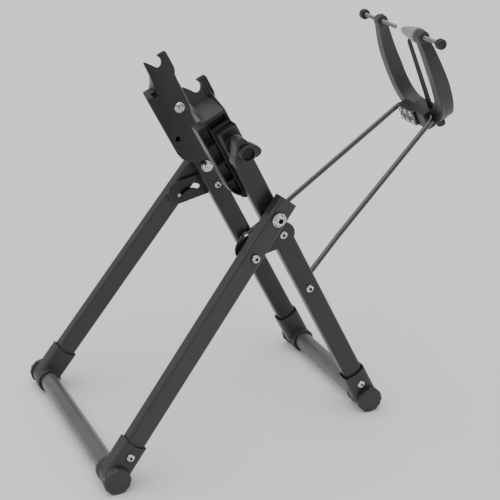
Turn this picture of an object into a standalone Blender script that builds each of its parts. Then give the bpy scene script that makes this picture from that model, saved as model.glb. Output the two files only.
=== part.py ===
# Foldable two-sided wheel truing stand.
# World frame: metres, +Z up, +X towards the rim gauge, -Y is the "right" side
# (the side with the clamp knob), +Y the "left" side.
import bpy
import bmesh
import math
from mathutils import Vector, Matrix

for _o in list(bpy.data.objects):
    bpy.data.objects.remove(_o, do_unlink=True)

# ---------------------------------------------------------------- dimensions (mm)
MM = 0.001
X_SHIFT = 99.835           # moves the bounding box centre onto X = 0
TUBE_W = 22.2              # rectangular tube, wide face
TUBE_T = 14.6              # rectangular tube, narrow face
TUBE_WALL = 1.5
TUBE_R = 3.2               # corner radius
INNER_Y = 73.7             # uprights' inner faces
FOOT_Z = 14.0              # height of both cross tubes' axes
UP_ANG = 117.0             # upright direction in the XZ plane, degrees
UP_TOP = 380.5             # upright's upper end, measured from its foot axis
TUBE_FOOT = 15.5           # where every tube ends inside its elbow
BRACE_GAP = 3.4            # between an upright's outer face and its leg
PIVOT_U, PIVOT_V = 274.2, -0.6
BRACE_U, BRACE_V = 245.7, 0.4
LOCK_U, LOCK_V = 253.7, -41.2
ROD_U, ROD_V = 169.9, -0.6
HEAD_BOLT_U, HEAD_BOLT_V = 363.5, -1.0
LEG_FOOT_X = -313.9        # front cross tube's axis
LEG_SPLAY = 15.6           # each leg's foot stands this much further out
LEG_TOP = 21.0             # leg's upper end beyond the pivot
FOLD_MAX = 52.5            # degrees
BRACE_RATIO = 1.4          # brace turns this many times the leg
CROSS_R, CROSS_WALL = 10.5, 1.4
BARREL_R = 13.7
FOOT_CAP_R = 14.1
LOBES = 12
ROD_R = 3.0
ROD_ANG = 39.556
ROD_LEN = 233.94
GAUGE_ANG = 113.0
GAP = 0.3
REAR_SCREW, FRONT_SCREW = 23.4, 26.4   # elbow screws, measured from the foot axis

OUT_Y = INNER_Y + TUBE_T
LEG_IN_Y = OUT_Y + BRACE_GAP
LEG_MID_Y = LEG_IN_Y + TUBE_T / 2
UP_MID_Y = INNER_Y + TUBE_T / 2

_a = math.radians(UP_ANG)
UD = Vector((math.cos(_a), 0, math.sin(_a)))      # along an upright, upwards
UN = Vector((math.sin(_a), 0, -math.cos(_a)))     # across it, towards +X
_g = math.radians(GAUGE_ANG)
GT = Vector((math.cos(_g), 0, math.sin(_g)))      # along the gauge arms
GN = Vector((math.sin(_g), 0, -math.cos(_g)))     # across them, rearwards
YV = Vector((0, 1, 0))


def uv(u, v, y=0.0):
    """Point (mm) from upright coordinates."""
    p = UD * u + UN * v
    return Vector((p.x, y, p.z + FOOT_Z))


PIVOT = uv(PIVOT_U, PIVOT_V)
BRACE = uv(BRACE_U, BRACE_V)
LOCK = uv(LOCK_U, LOCK_V)
RODP = uv(ROD_U, ROD_V)
HEADB = uv(HEAD_BOLT_U, HEAD_BOLT_V)
_r = math.radians(ROD_ANG)
RD = Vector((math.cos(_r), 0, math.sin(_r)))
BAR = RODP + RD * ROD_LEN
GREF = BAR - GN * 6.2


def ws(w, s, y=0.0):
    """Point (mm) from gauge coordinates: w rearwards, s up the arms."""
    p = GREF + GN * w + GT * s
    return Vector((p.x, y, p.z))


# ---------------------------------------------------------------- materials
def material(name, rgb, rough, metal):
    m = bpy.data.materials.new(name)
    m.use_nodes = True
    b = m.node_tree.nodes["Principled BSDF"]
    b.inputs["Base Color"].default_value = (rgb[0], rgb[1], rgb[2], 1)
    b.inputs["Roughness"].default_value = rough
    b.inputs["Metallic"].default_value = metal
    return m


PAINT = ((0.035, 0.035, 0.037), 0.38, 0.0)
PLASTIC = ((0.028, 0.028, 0.030), 0.5, 0.0)
SATIN = ((0.16, 0.16, 0.165), 0.35, 0.6)
STEEL = ((0.72, 0.72, 0.73), 0.22, 1.0)
DARK = ((0.02, 0.02, 0.022), 0.3, 0.0)


# ---------------------------------------------------------------- mesh helpers
def to_object(name, bm, look, smooth=True, angle=35.0):
    bmesh.ops.remove_doubles(bm, verts=bm.verts, dist=1e-5)
    bmesh.ops.recalc_face_normals(bm, faces=bm.faces)
    for v in bm.verts:
        v.co = Vector(((v.co.x + X_SHIFT) * MM, v.co.y * MM, v.co.z * MM))
    me = bpy.data.meshes.new(name)
    bm.to_mesh(me)
    bm.free()
    ob = bpy.data.objects.new(name, me)
    bpy.context.scene.collection.objects.link(ob)
    if smooth:
        me.polygons.foreach_set("use_smooth", [True] * len(me.polygons))
        lim = math.radians(angle)
        tmp = bmesh.new()
        tmp.from_mesh(me)
        for e in tmp.edges:
            if len(e.link_faces) == 2 and e.calc_face_angle(0) > lim:
                e.smooth = False
        tmp.to_mesh(me)
        tmp.free()
    if look is not None:
        me.materials.append(material(name + "_mat", *look))
    return ob


def frame_prism(bm, pts, org, ea, eb, ec, c0, c1):
    """Prism: polygon pts (a, b) placed at org with axes ea, eb and swept along ec."""
    lo = [bm.verts.new(org + ea * a + eb * b + ec * c0) for a, b in pts]
    hi = [bm.verts.new(org + ea * a + eb * b + ec * c1) for a, b in pts]
    n = len(pts)
    bm.faces.new(lo[::-1])
    bm.faces.new(hi)
    for i in range(n):
        j = (i + 1) % n
        bm.faces.new((lo[i], lo[j], hi[j], hi[i]))


def ring_prism(bm, outer, inner, org, ea, eb, ec, c0, c1):
    """Open tube between two polygons with the same number of points."""
    n = len(outer)
    loops = []
    for c in (c0, c1):
        for pts in (outer, inner):
            loops.append([bm.verts.new(org + ea * a + eb * b + ec * c) for a, b in pts])
    lo_o, lo_i, hi_o, hi_i = loops
    for i in range(n):
        j = (i + 1) % n
        bm.faces.new((lo_o[i], lo_o[j], hi_o[j], hi_o[i]))
        bm.faces.new((lo_i[j], lo_i[i], hi_i[i], hi_i[j]))
        bm.faces.new((lo_o[j], lo_o[i], lo_i[i], lo_i[j]))
        bm.faces.new((hi_o[i], hi_o[j], hi_i[j], hi_i[i]))


def round_rect(w, t, r, n=4):
    pts = []
    for cx, cy, a0 in ((w / 2 - r, t / 2 - r, 0), (-w / 2 + r, t / 2 - r, 90),
                       (-w / 2 + r, -t / 2 + r, 180), (w / 2 - r, -t / 2 + r, 270)):
        for i in range(n + 1):
            a = math.radians(a0 + 90.0 * i / n)
            pts.append((cx + r * math.cos(a), cy + r * math.sin(a)))
    return pts


def axes_for(axis):
    ez = axis.normalized()
    ex = Vector((0, 0, 1)).cross(ez)
    if ex.length < 1e-3:
        ex = Vector((1, 0, 0))
    ex.normalize()
    return ex, ez.cross(ex), ez


def lathe(bm, profile, org, axis, n=24):
    """Revolve (r, h) profile about axis. r == 0 ends are closed to a point;
    a profile whose ends are both off axis is closed onto itself."""
    ex, ey, ez = axes_for(axis)
    rings = []
    for r, h in profile:
        if r < 1e-6:
            rings.append([bm.verts.new(org + ez * h)])
        else:
            rings.append([bm.verts.new(org + ez * h + (ex * math.cos(2 * math.pi * i / n)
                          + ey * math.sin(2 * math.pi * i / n)) * r) for i in range(n)])
    pairs = list(zip(rings[:-1], rings[1:]))
    if len(rings[0]) > 1 and len(rings[-1]) > 1:
        pairs.append((rings[-1], rings[0]))
    for a, b in pairs:
        if len(a) == 1 and len(b) == 1:
            continue
        for i in range(n):
            j = (i + 1) % n
            if len(a) == 1:
                bm.faces.new((a[0], b[i], b[j]))
            elif len(b) == 1:
                bm.faces.new((a[i], b[0], a[j]))
            else:
                bm.faces.new((a[i], b[i], b[j], a[j]))


def cyl(bm, r, org, axis, h0, h1, n=32):
    lathe(bm, [(0, h0), (r, h0), (r, h1), (0, h1)], org, axis, n)


def sleeve(bm, ri, ro, org, axis, h0, h1, n=32):
    lathe(bm, [(ri, h0), (ro, h0), (ro, h1), (ri, h1)], org, axis, n)


def sweep(bm, path, r, n=12):
    """Round bar along a polyline."""
    rings = []
    up = Vector((0, 0, 1))
    t0 = (path[1] - path[0]).normalized()
    ex = (up - t0 * up.dot(t0)).normalized()
    for i, p in enumerate(path):
        if i == 0:
            t = (path[1] - path[0]).normalized()
        elif i == len(path) - 1:
            t = (path[-1] - path[-2]).normalized()
        else:
            t = ((path[i + 1] - p).normalized() + (p - path[i - 1]).normalized()).normalized()
        ex = (ex - t * ex.dot(t)).normalized()
        ey = t.cross(ex)
        rings.append([bm.verts.new(p + (ex * math.cos(2 * math.pi * k / n)
                      + ey * math.sin(2 * math.pi * k / n)) * r) for k in range(n)])
    for a, b in zip(rings[:-1], rings[1:]):
        for i in range(n):
            j = (i + 1) % n
            bm.faces.new((a[i], a[j], b[j], b[i]))
    bm.faces.new(rings[0][::-1])
    bm.faces.new(rings[-1])


def arc_path(points, radius, steps=5):
    """Polyline with its inner corners rounded."""
    out = [points[0]]
    for a, b, c in zip(points[:-2], points[1:-1], points[2:]):
        d1, d2 = (a - b).normalized(), (c - b).normalized()
        half = math.acos(max(-1, min(1, d1.dot(d2)))) / 2
        cut = min(radius / math.tan(half), (a - b).length * 0.45, (c - b).length * 0.45)
        rr = cut * math.tan(half)
        cen = b + (d1 + d2).normalized() * (rr / math.sin(half))
        p0, p1 = b + d1 * cut, b + d2 * cut
        v0, v1 = p0 - cen, p1 - cen
        ang = v0.angle(v1)
        m = steps if ang > 0.6 else 2
        for k in range(m + 1):
            f = k / m
            w0 = math.sin((1 - f) * ang) / math.sin(ang)
            w1 = math.sin(f * ang) / math.sin(ang)
            out.append(cen + v0 * w0 + v1 * w1)
    out.append(points[-1])
    return out


def boolean(ob, parts, op="DIFFERENCE", solver="EXACT"):
    """Apply exact booleans. parts: list of bmesh, in mm."""
    for bm in parts:
        cut = to_object("cutter", bm, None, smooth=False)
        md = ob.modifiers.new("cut", "BOOLEAN")
        md.operation = op
        md.solver = solver
        md.object = cut
        bpy.context.view_layer.update()
        dg = bpy.context.evaluated_depsgraph_get()
        me = bpy.data.meshes.new_from_object(ob.evaluated_get(dg))
        ob.modifiers.remove(md)
        old = ob.data
        me.name = old.name + "_b"
        mats = [m for m in old.materials]
        ob.data = me
        me.materials.clear()
        for m in mats:
            me.materials.append(m)
        bpy.data.meshes.remove(old)
        cm = cut.data
        bpy.data.objects.remove(cut, do_unlink=True)
        bpy.data.meshes.remove(cm)
    finish_shading(ob)


def finish_shading(ob, angle=35.0):
    me = ob.data
    bm = bmesh.new()
    bm.from_mesh(me)
    for f in bm.faces:
        f.smooth = True
        f.material_index = 0
    for e in bm.edges:
        e.smooth = not (len(e.link_faces) == 2 and e.calc_face_angle(0) > math.radians(angle))
    bm.to_mesh(me)
    bm.free()


def cylb(r, org, axis, h0, h1, n=24):
    b = bmesh.new()
    cyl(b, r, org, axis, h0, h1, n)
    return b


def prismb(pts, org, ea, eb, ec, c0, c1):
    b = bmesh.new()
    frame_prism(b, pts, org, ea, eb, ec, c0, c1)
    return b


def ydir(s):
    return Vector((0, s, 0))


SIDES = (("left", 1), ("right", -1))
ORG = Vector((0, 0, FOOT_Z))
RECT_O = round_rect(TUBE_W, TUBE_T, TUBE_R)
RECT_I = round_rect(TUBE_W - 2 * TUBE_WALL, TUBE_T - 2 * TUBE_WALL, TUBE_R - TUBE_WALL)

# ---------------------------------------------------------------- uprights
for side, s in SIDES:
    bm = bmesh.new()
    o = Vector((0, s * UP_MID_Y, FOOT_Z))
    ring_prism(bm, RECT_O, RECT_I, o, UN, YV, UD, TUBE_FOOT, UP_TOP)
    ob = to_object(side + "_upright_tube", bm, PAINT)
    holes = [cylb(4.1, PIVOT, YV * s, INNER_Y - 5, OUT_Y + 5),
             cylb(2.6, BRACE, YV * s, INNER_Y - 5, OUT_Y + 5, 24),
             cylb(2.6, RODP, YV * s, INNER_Y - 5, OUT_Y + 5, 24),
             cylb(2.1, uv(REAR_SCREW, 0), YV * s, OUT_Y - 5, OUT_Y + 5, 20)]
    if side == "left":
        holes.append(cylb(4.2, HEADB, YV * s, INNER_Y - 5, OUT_Y + 5))
    else:
        slot = [(10.3 * k + 4.3 * math.cos(math.radians(90 * (1 - k) + a * 18)),
                 4.3 * math.sin(math.radians(90 * (1 - k) + a * 18)))
                for k in (1, -1) for a in range(-5, 6)]
        holes.append(prismb(slot, HEADB, UD, UN, YV * s, INNER_Y - 5, OUT_Y + 5))
    boolean(ob, holes)

# plugs in the uprights' upper ends
for side, s in SIDES:
    bm = bmesh.new()
    o = Vector((0, s * UP_MID_Y, FOOT_Z))
    pin = round_rect(TUBE_W - 2 * TUBE_WALL - 0.6, TUBE_T - 2 * TUBE_WALL - 0.6, 1.2)
    frame_prism(bm, pin, o, UN, YV, UD, UP_TOP - 5.0, UP_TOP - 0.6)
    to_object(side + "_upright_plug", bm, DARK)


# ---------------------------------------------------------------- feet
def scallop(r0, amp, lobes, flat_z, n_per=8):
    pts = []
    n = lobes * n_per
    for i in range(n):
        a = 2 * math.pi * i / n - math.pi / 2
        r = r0 + amp * math.cos(lobes * (a + math.pi / 2))
        x, z = r * math.cos(a), r * math.sin(a)
        if flat_z is not None and z < -flat_z:
            z = -flat_z
        pts.append((x, z))
    return pts


def elbow(name, s, foot, along, across, y_mid, axis_t, screw_at):
    """T-shaped socket: a barrel on the cross tube and a collar round a tube.
    along: tube direction away from the foot; axis_t: tube's thickness direction."""
    bm = bmesh.new()
    y0, y1 = y_mid - 15.5, y_mid + 10.0
    lathe(bm, [(0, y0), (BARREL_R - 0.2, y0), (BARREL_R - 0.2, y0 + 3.0), (BARREL_R - 0.9, y0 + 3.6),
               (BARREL_R - 0.9, y1 - 1.5), (BARREL_R - 0.4, y1), (0, y1)],
          foot, YV * s, 36)
    ob = to_object(name, bm, PLASTIC)
    base = Vector((foot.x, s * y_mid, foot.z))
    outer = round_rect(TUBE_W + 5.0, TUBE_T + 5.4, 5.0)
    boolean(ob, [prismb(outer, base, across, axis_t, along, 2.0, 40.5)], "UNION")
    scoop = [(20.0 * math.sin(math.radians(6.0 * k)), 35.6 + 20.0 * (1 - math.cos(math.radians(6.0 * k))))
             for k in range(-8, 9)] + [(14.9, 60.0), (-14.9, 60.0)]
    cuts = [prismb(scoop, base, across, along, axis_t, -30, 30),
            prismb(round_rect(TUBE_W + 0.6, TUBE_T + 0.6, TUBE_R + 0.3), base, across, axis_t,
                   along, TUBE_FOOT - 0.4, 60),
            cylb(CROSS_R + GAP, foot, YV * s, y0 - 5, y_mid + 5.0, 36)]
    boolean(ob, cuts)
    boolean(ob, [cylb(2.1, base + Vector((along.x, 0, along.z)) * screw_at, YV * s, 3, 20, 20)], solver="MANIFOLD")
    return ob


def foot_cap(name, s, foot, y_mid):
    y0, y1 = y_mid + 10.0 + GAP, y_mid + 17.0
    bm = bmesh.new()
    n_per = 6
    base = scallop(FOOT_CAP_R + 0.1, 0.45, LOBES, FOOT_Z, n_per)
    top = scallop(FOOT_CAP_R - 0.9, 0.4, LOBES, None, n_per)
    face = [(x * 0.86, z * 0.86) for x, z in top]
    loops = []
    for pts, y in ((base, y0), (base, y1 - 2.2), (top, y1 - 0.5), (face, y1)):
        loops.append([bm.verts.new(Vector((foot.x + x, s * y, foot.z + z))) for x, z in pts])
    n = len(base)
    for a, b in zip(loops[:-1], loops[1:]):
        for i in range(n):
            j = (i + 1) % n
            bm.faces.new((a[i], a[j], b[j], b[i]))
    bm.faces.new(loops[0][::-1])
    bm.faces.new(loops[-1])
    to_object(name, bm, PLASTIC, angle=28)


def screw_head(bm, r, h, org, axis, y, n=24, sock=0.45, depth=0.5):
    """Low domed head with a hexagonal socket; y = its seat."""
    lathe(bm, [(0, y), (r, y), (r, y + h * 0.35), (r * 0.86, y + h * 0.78), (r * 0.62, y + h),
               (r * sock, y + h), (r * sock * 0.95, y + h * (1 - depth)), (0, y + h * (1 - depth))],
          org, axis, n)


REAR = Vector((0, 0, FOOT_Z))
FRONT = Vector((LEG_FOOT_X, 0, FOOT_Z))
LEG_FOOT_Y = LEG_MID_Y + LEG_SPLAY

for side, s in SIDES:
    elbow(side + "_rear_elbow", s, REAR, UD, UN, UP_MID_Y, YV, REAR_SCREW)
    foot_cap(side + "_rear_foot_cap", s, REAR, UP_MID_Y)

bm = bmesh.new()
half = UP_MID_Y + 4.4
sleeve(bm, CROSS_R - CROSS_WALL, CROSS_R, REAR, YV, -half, half, 36)
to_object("rear_cross_tube", bm, SATIN)

# ---------------------------------------------------------------- legs
LEG_VEC = {}
for side, s in SIDES:
    top = Vector((PIVOT.x, s * LEG_MID_Y, PIVOT.z))
    bot = Vector((LEG_FOOT_X, s * LEG_FOOT_Y, FOOT_Z))
    al = (top - bot).normalized()                       # towards the pivot
    ac = Vector((al.z, 0, -al.x)).normalized()          # across, towards +X
    th = al.cross(ac).normalized()
    if th.y < 0:
        th = -th
    LEG_VEC[side] = (bot, al, ac, th, (top - bot).length)
    L = (top - bot).length
    bm = bmesh.new()
    ring_prism(bm, RECT_O, RECT_I, bot, ac, th, al, TUBE_FOOT, L + LEG_TOP)
    ob = to_object(side + "_leg_tube", bm, PAINT)
    boolean(ob, [cylb(4.1, PIVOT, YV * s, LEG_IN_Y - 6, LEG_IN_Y + 22),
                 cylb(2.6, LOCK, YV * s, LEG_IN_Y - 6, LEG_IN_Y + 26, 24),
                 cylb(2.1, Vector((bot.x, 0, bot.z)) + Vector((al.x, 0, al.z)) * FRONT_SCREW, YV * s,
                      LEG_FOOT_Y, LEG_FOOT_Y + 20, 20)])
    elbow(side + "_front_elbow", s, FRONT, al, ac, LEG_FOOT_Y, th, FRONT_SCREW)
    foot_cap(side + "_front_foot_cap", s, FRONT, LEG_FOOT_Y)
    # plug in the leg's upper end
    bm = bmesh.new()
    pin = round_rect(TUBE_W - 2 * TUBE_WALL - 0.6, TUBE_T - 2 * TUBE_WALL - 0.6, 1.2)
    frame_prism(bm, pin, bot, ac, th, al, L + LEG_TOP - 5.0, L + LEG_TOP - 0.5)
    to_object(side + "_leg_plug", bm, DARK)

bm = bmesh.new()
half = LEG_FOOT_Y + 4.4
sleeve(bm, CROSS_R - CROSS_WALL, CROSS_R, FRONT, YV, -half, half, 36)
to_object("front_cross_tube", bm, SATIN)

# ---------------------------------------------------------------- braces
def turn(p, deg):
    a = math.radians(deg)
    c, sn = math.cos(a), math.sin(a)
    return (c * p[0] + sn * p[1], -sn * p[0] + c * p[1])


def stadium(p0, p1, r, n=10):
    a = math.atan2(p1[1] - p0[1], p1[0] - p0[0])
    out = []
    for c, b in ((p1, a - math.pi / 2), (p0, a + math.pi / 2)):
        for i in range(n + 1):
            t = b + math.pi * i / n
            out.append((c[0] + r * math.cos(t), c[1] + r * math.sin(t)))
    return out


SLOT = []
for i in range(9):
    th_ = FOLD_MAX * i / 8
    l = turn((LOCK_U - PIVOT_U, LOCK_V - PIVOT_V), th_)
    q = (PIVOT_U + l[0] - BRACE_U, PIVOT_V + l[1] - BRACE_V)
    q = turn(q, -BRACE_RATIO * th_)
    SLOT.append((BRACE_U + q[0], BRACE_V + q[1]))
SLOT_R = 2.9


def thick_path(pts, r, n=8):
    """Outline of a polyline with round ends, as one polygon."""
    left, right = [], []
    for i, p in enumerate(pts):
        a = pts[max(i - 1, 0)]
        b = pts[min(i + 1, len(pts) - 1)]
        d = (b[0] - a[0], b[1] - a[1])
        m = math.hypot(*d)
        nx, ny = -d[1] / m, d[0] / m
        left.append((p[0] + nx * r, p[1] + ny * r))
        right.append((p[0] - nx * r, p[1] - ny * r))

    def end(c, frm, sweep_sign):
        a0 = math.atan2(frm[1] - c[1], frm[0] - c[0])
        return [(c[0] + r * math.cos(a0 + sweep_sign * math.pi * k / n),
                 c[1] + r * math.sin(a0 + sweep_sign * math.pi * k / n)) for k in range(1, n)]
    return left + end(pts[-1], left[-1], -1) + right[::-1] + end(pts[0], right[0], -1)


for side, s in SIDES:
    bm = bmesh.new()
    out = stadium((246.2, 0.4), (257.0, -40.0), 13.4)
    frame_prism(bm, out, ORG, UD, UN, YV * s, OUT_Y + GAP, LEG_IN_Y - GAP)
    ob = to_object(side + "_brace_plate", bm, PAINT)
    boolean(ob, [prismb(thick_path(SLOT, SLOT_R), ORG, UD, UN, YV * s, OUT_Y - 2, LEG_IN_Y + 2),
                 cylb(2.6, BRACE, YV * s, OUT_Y - 2, LEG_IN_Y + 2, 24)])

# ---------------------------------------------------------------- pivots and screws
for side, s in SIDES:
    # pivot bolt, with its nut on the upright's inner face
    bm = bmesh.new()
    y_out = LEG_IN_Y + TUBE_T + 1.4
    lathe(bm, [(0, INNER_Y - 6.6), (4.0, INNER_Y - 6.6), (4.0, y_out), (7.6, y_out), (7.6, y_out + 1.6),
               (6.6, y_out + 3.4), (4.9, y_out + 4.3), (2.9, y_out + 4.3), (2.7, y_out + 2.2), (0, y_out + 2.2)],
          PIVOT, YV * s, 24)
    to_object(side + "_pivot_bolt", bm, STEEL)
    bm = bmesh.new()
    sleeve(bm, 4.1, 7.4, PIVOT, YV * s, OUT_Y + GAP, LEG_IN_Y - 0.8, 32)
    to_object(side + "_pivot_washer", bm, STEEL)
    bm = bmesh.new()
    ring_o = []
    for i in range(24):
        a = math.radians(15 * i)
        k = math.cos(math.radians(30)) / math.cos(((math.degrees(a) % 60) - 30) * math.pi / 180)
        ring_o.append((6.9 * k * math.cos(a), 6.9 * k * math.sin(a)))
    ring_i = [(4.1 * math.cos(math.radians(15 * i)), 4.1 * math.sin(math.radians(15 * i))) for i in range(24)]
    ring_prism(bm, ring_o, ring_i, PIVOT, Vector((1, 0, 0)), Vector((0, 0, 1)), YV * s, INNER_Y - 6.4, INNER_Y - GAP)
    to_object(side + "_pivot_nut", bm, STEEL)
    # brace screw: through the brace and the upright
    bm = bmesh.new()
    lathe(bm, [(0, INNER_Y - 2.6), (2.2, INNER_Y - 3.0), (3.9, INNER_Y - 2.4), (4.1, INNER_Y - GAP), (2.5, INNER_Y - GAP),
               (2.5, LEG_IN_Y - GAP + 0.1), (4.0, LEG_IN_Y - GAP + 0.1), (4.0, LEG_IN_Y + 0.3), (3.4, LEG_IN_Y + 0.9),
               (1.9, LEG_IN_Y + 0.9), (1.8, LEG_IN_Y - 0.2), (0, LEG_IN_Y - 0.2)],
          BRACE, YV * s, 18)
    to_object(side + "_brace_screw", bm, STEEL)
    # lock pin: rides on the leg, runs in the brace's slot
    bot, al, ac, th, L = LEG_VEC[side]
    bm = bmesh.new()
    y1 = LEG_IN_Y + TUBE_T + 3.2
    lathe(bm, [(0, OUT_Y + 0.5), (2.2, OUT_Y + 0.5), (2.5, OUT_Y + 0.8), (2.5, y1), (4.6, y1), (4.6, y1 + 1.6),
               (3.7, y1 + 3.0), (2.2, y1 + 3.0), (2.1, y1 + 1.5), (0, y1 + 1.5)],
          LOCK, YV * s, 18)
    to_object(side + "_lock_pin", bm, STEEL)
    # gauge rod pivot screw
    bm = bmesh.new()
    lathe(bm, [(0, INNER_Y - 8.6), (2.6, INNER_Y - 8.8), (4.0, INNER_Y - 8.0), (4.2, INNER_Y - 6.3), (2.5, INNER_Y - 6.3),
               (2.5, OUT_Y + 0.1), (4.4, OUT_Y + 0.1), (4.4, OUT_Y + 1.5), (3.5, OUT_Y + 2.8),
               (2.1, OUT_Y + 2.8), (2.0, OUT_Y + 1.4), (0, OUT_Y + 1.4)],
          RODP, YV * s, 18)
    to_object(side + "_rod_pivot_screw", bm, STEEL)
    # elbow screws
    for nm, org, ym, ax in (("rear", uv(REAR_SCREW, 0), UP_MID_Y, YV * s),
                            ("front", Vector((FRONT.x, 0, FRONT.z)) + Vector((al.x, 0, al.z)) * FRONT_SCREW, LEG_FOOT_Y, YV * s)):
        bm = bmesh.new()
        y0 = ym + (TUBE_T + 5.4) / 2 + (0.1 if nm == "rear" else -0.2)
        if nm == "front":
            y0 = ym + (TUBE_T + 5.4) / 2 - FRONT_SCREW * math.tan(math.asin(abs(al.y))) + 0.5
        lathe(bm, [(0, y0 - 7.5), (1.6, y0 - 7.5), (2.0, y0 - 6.5), (2.0, y0), (4.3, y0), (4.3, y0 + 1.2), (3.4, y0 + 2.4),
                   (2.0, y0 + 2.4), (1.9, y0 + 1.2), (0, y0 + 1.2)], org, ax, 16)
        to_object(side + "_" + nm + "_elbow_screw", bm, STEEL)

# ---------------------------------------------------------------- dropout heads
HEAD_IN, WEB = 50.0, 3.6
FORK = [(427.6, -12.4), (428.0, -10.6), (425.8, -9.0), (421.5, -5.8), (417.6, -3.4), (415.2, -1.4), (414.6, 0.6),
        (415.2, 2.8), (417.0, 4.6), (419.6, 5.7), (422.6, 6.0), (426.6, 4.2), (427.4, 5.0), (427.0, 13.4),
        (425.2, 14.6), (407.0, 14.9), (402.6, 14.0), (398.6, 11.9), (392.0, 11.4)]
NECK_L = [(388.0, -17.4), (397.6, -17.4), (399.8, -16.2), (404.4, -13.8), (412.8, -12.9)]
LOWER = [(304.0, 11.4), (296.0, 8.5), (293.5, 2.0), (294.2, -5.0), (297.4, -11.6)]
FLANGE = [(391.5, -13.0), (391.5, -24.2), (318.6, -23.4), (310.4, -21.6), (304.6, -18.0), (300.6, -13.0)]

for side, s in SIDES:
    nm = side + "_dropout_head"
    web = FORK + [(388.0, 11.4)] + LOWER + [(300.4, -15.4), (399.0, -15.4)] + NECK_L[3:]
    bm = bmesh.new()
    frame_prism(bm, web, ORG, UD, UN, YV * s, HEAD_IN, HEAD_IN + WEB)
    ob = to_object(nm, bm, PLASTIC)
    body = [(404.0, 11.4)] + LOWER + [(300.2, -15.2), (399.2, -15.2), (404.0, -13.7)]
    b2 = prismb(body, ORG, UD, UN, YV * s, HEAD_IN + 0.8, INNER_Y - GAP)
    tmp = to_object("tmp_body", b2, PLASTIC)
    # sloping top of the body between two gussets
    ramp = [(HEAD_IN + WEB, 404.2), (INNER_Y + 2, 392.8), (INNER_Y + 2, 420.0), (HEAD_IN + WEB, 420.0)]
    boolean(tmp, [prismb(ramp, ORG, YV * s, UD, UN, -40, 30)])
    gusset = [(HEAD_IN + 3.0, 411.5), (HEAD_IN + 3.0, 388.0), (INNER_Y - GAP, 388.0), (INNER_Y - GAP, 394.6)]
    boolean(tmp, [prismb(gusset, ORG, YV * s, UD, UN, -13.4, -11.8), prismb(gusset, ORG, YV * s, UD, UN, 9.6, 11.3),
                  prismb(FLANGE, ORG, UD, UN, YV * s, HEAD_IN + 10.0, INNER_Y - GAP)], "UNION")
    # ribbed recess along the flange, one under the slope and one behind the upright
    edge = [(303.4, -15.4), (305.4, -16.8), (311.0, -20.0), (319.0, -21.7), (388.3, -22.6)]

    def edge_v(u):
        for p, q in zip(edge[:-1], edge[1:]):
            if u <= q[0]:
                break
        return p[1] + (q[1] - p[1]) * (u - p[0]) / (q[0] - p[0])
    cuts = []
    for u0, u1 in ((303.6, 322.4), (323.6, 344.4), (345.6, 366.4), (367.6, 388.3)):
        side_v = [(u0, edge_v(u0))] + [p for p in edge if u0 < p[0] < u1] + [(u1, edge_v(u1))]
        cuts.append(prismb(side_v + [(u1, -12.2), (u0, -12.2)], ORG, UD, UN, YV * s, HEAD_IN + 13.2, INNER_Y + 5))
    cuts.append(prismb([(381.8, -11.4), (389.6, -11.4), (389.6, 9.2), (381.8, 9.2)], ORG, UD, UN, YV * s, HEAD_IN + 13.2, INNER_Y + 5))
    cuts.append(prismb([(303.5, -10.8), (346.0, -10.8), (346.0, 8.6), (303.5, 8.6)], ORG, UD, UN, YV * s, HEAD_IN + 6.0, INNER_Y + 5))
    boolean(tmp, cuts)
    b3 = bmesh.new()
    b3.from_mesh(tmp.data)
    for v in b3.verts:
        v.co = Vector((v.co.x / MM - X_SHIFT, v.co.y / MM, v.co.z / MM))
    tm = tmp.data
    bpy.data.objects.remove(tmp, do_unlink=True)
    bpy.data.meshes.remove(tm)
    boolean(ob, [b3], "UNION")
    boolean(ob, [cylb(4.1, HEADB, YV * s, HEAD_IN - 5, INNER_Y + 5),
                 cylb(2.4, uv(333.0, -19.2), YV * s, HEAD_IN - 5, HEAD_IN + 12.4, 20)])

# left head bolt and its nut
bm = bmesh.new()
lathe(bm, [(0, HEAD_IN - 3.4), (2.6, HEAD_IN - 3.2), (4.8, HEAD_IN - 2.3), (6.2, HEAD_IN - 0.9), (6.2, HEAD_IN - 0.1), (4.0, HEAD_IN - 0.1),
           (4.0, OUT_Y + 8.0), (0, OUT_Y + 8.0)], HEADB, YV, 32)
to_object("left_head_bolt", bm, STEEL)
bm = bmesh.new()
ring_prism(bm, ring_o, [(x * 1.02, z * 1.02) for x, z in ring_i], HEADB, Vector((1, 0, 0)), Vector((0, 0, 1)), YV,
           OUT_Y + GAP, OUT_Y + 6.6)
to_object("left_head_nut", bm, STEEL)

# right head: stud, washer, three-lobed clamp knob
bm = bmesh.new()
lathe(bm, [(0, HEAD_IN - 3.4), (2.6, HEAD_IN - 3.2), (4.8, HEAD_IN - 2.3), (6.2, HEAD_IN - 0.9), (6.2, HEAD_IN - 0.1), (4.0, HEAD_IN - 0.1),
           (4.0, OUT_Y + 27.0), (0, OUT_Y + 27.0)], HEADB, -YV, 32)
to_object("right_clamp_stud", bm, STEEL)
bm = bmesh.new()
sleeve(bm, 4.2, 9.6, HEADB, -YV, OUT_Y + GAP, OUT_Y + 2.4, 32)
to_object("right_clamp_washer", bm, PLASTIC)


def lobed(r_lobe, r_waist, n=60, scale=1.0):
    pts = []
    for i in range(n):
        a = 2 * math.pi * i / n
        c = (1 + math.cos(3 * (a - math.radians(117)))) / 2
        r = r_waist + (r_lobe - r_waist) * (c ** 1.7)
        pts.append((scale * r * math.cos(a), scale * r * math.sin(a)))
    return pts


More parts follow.
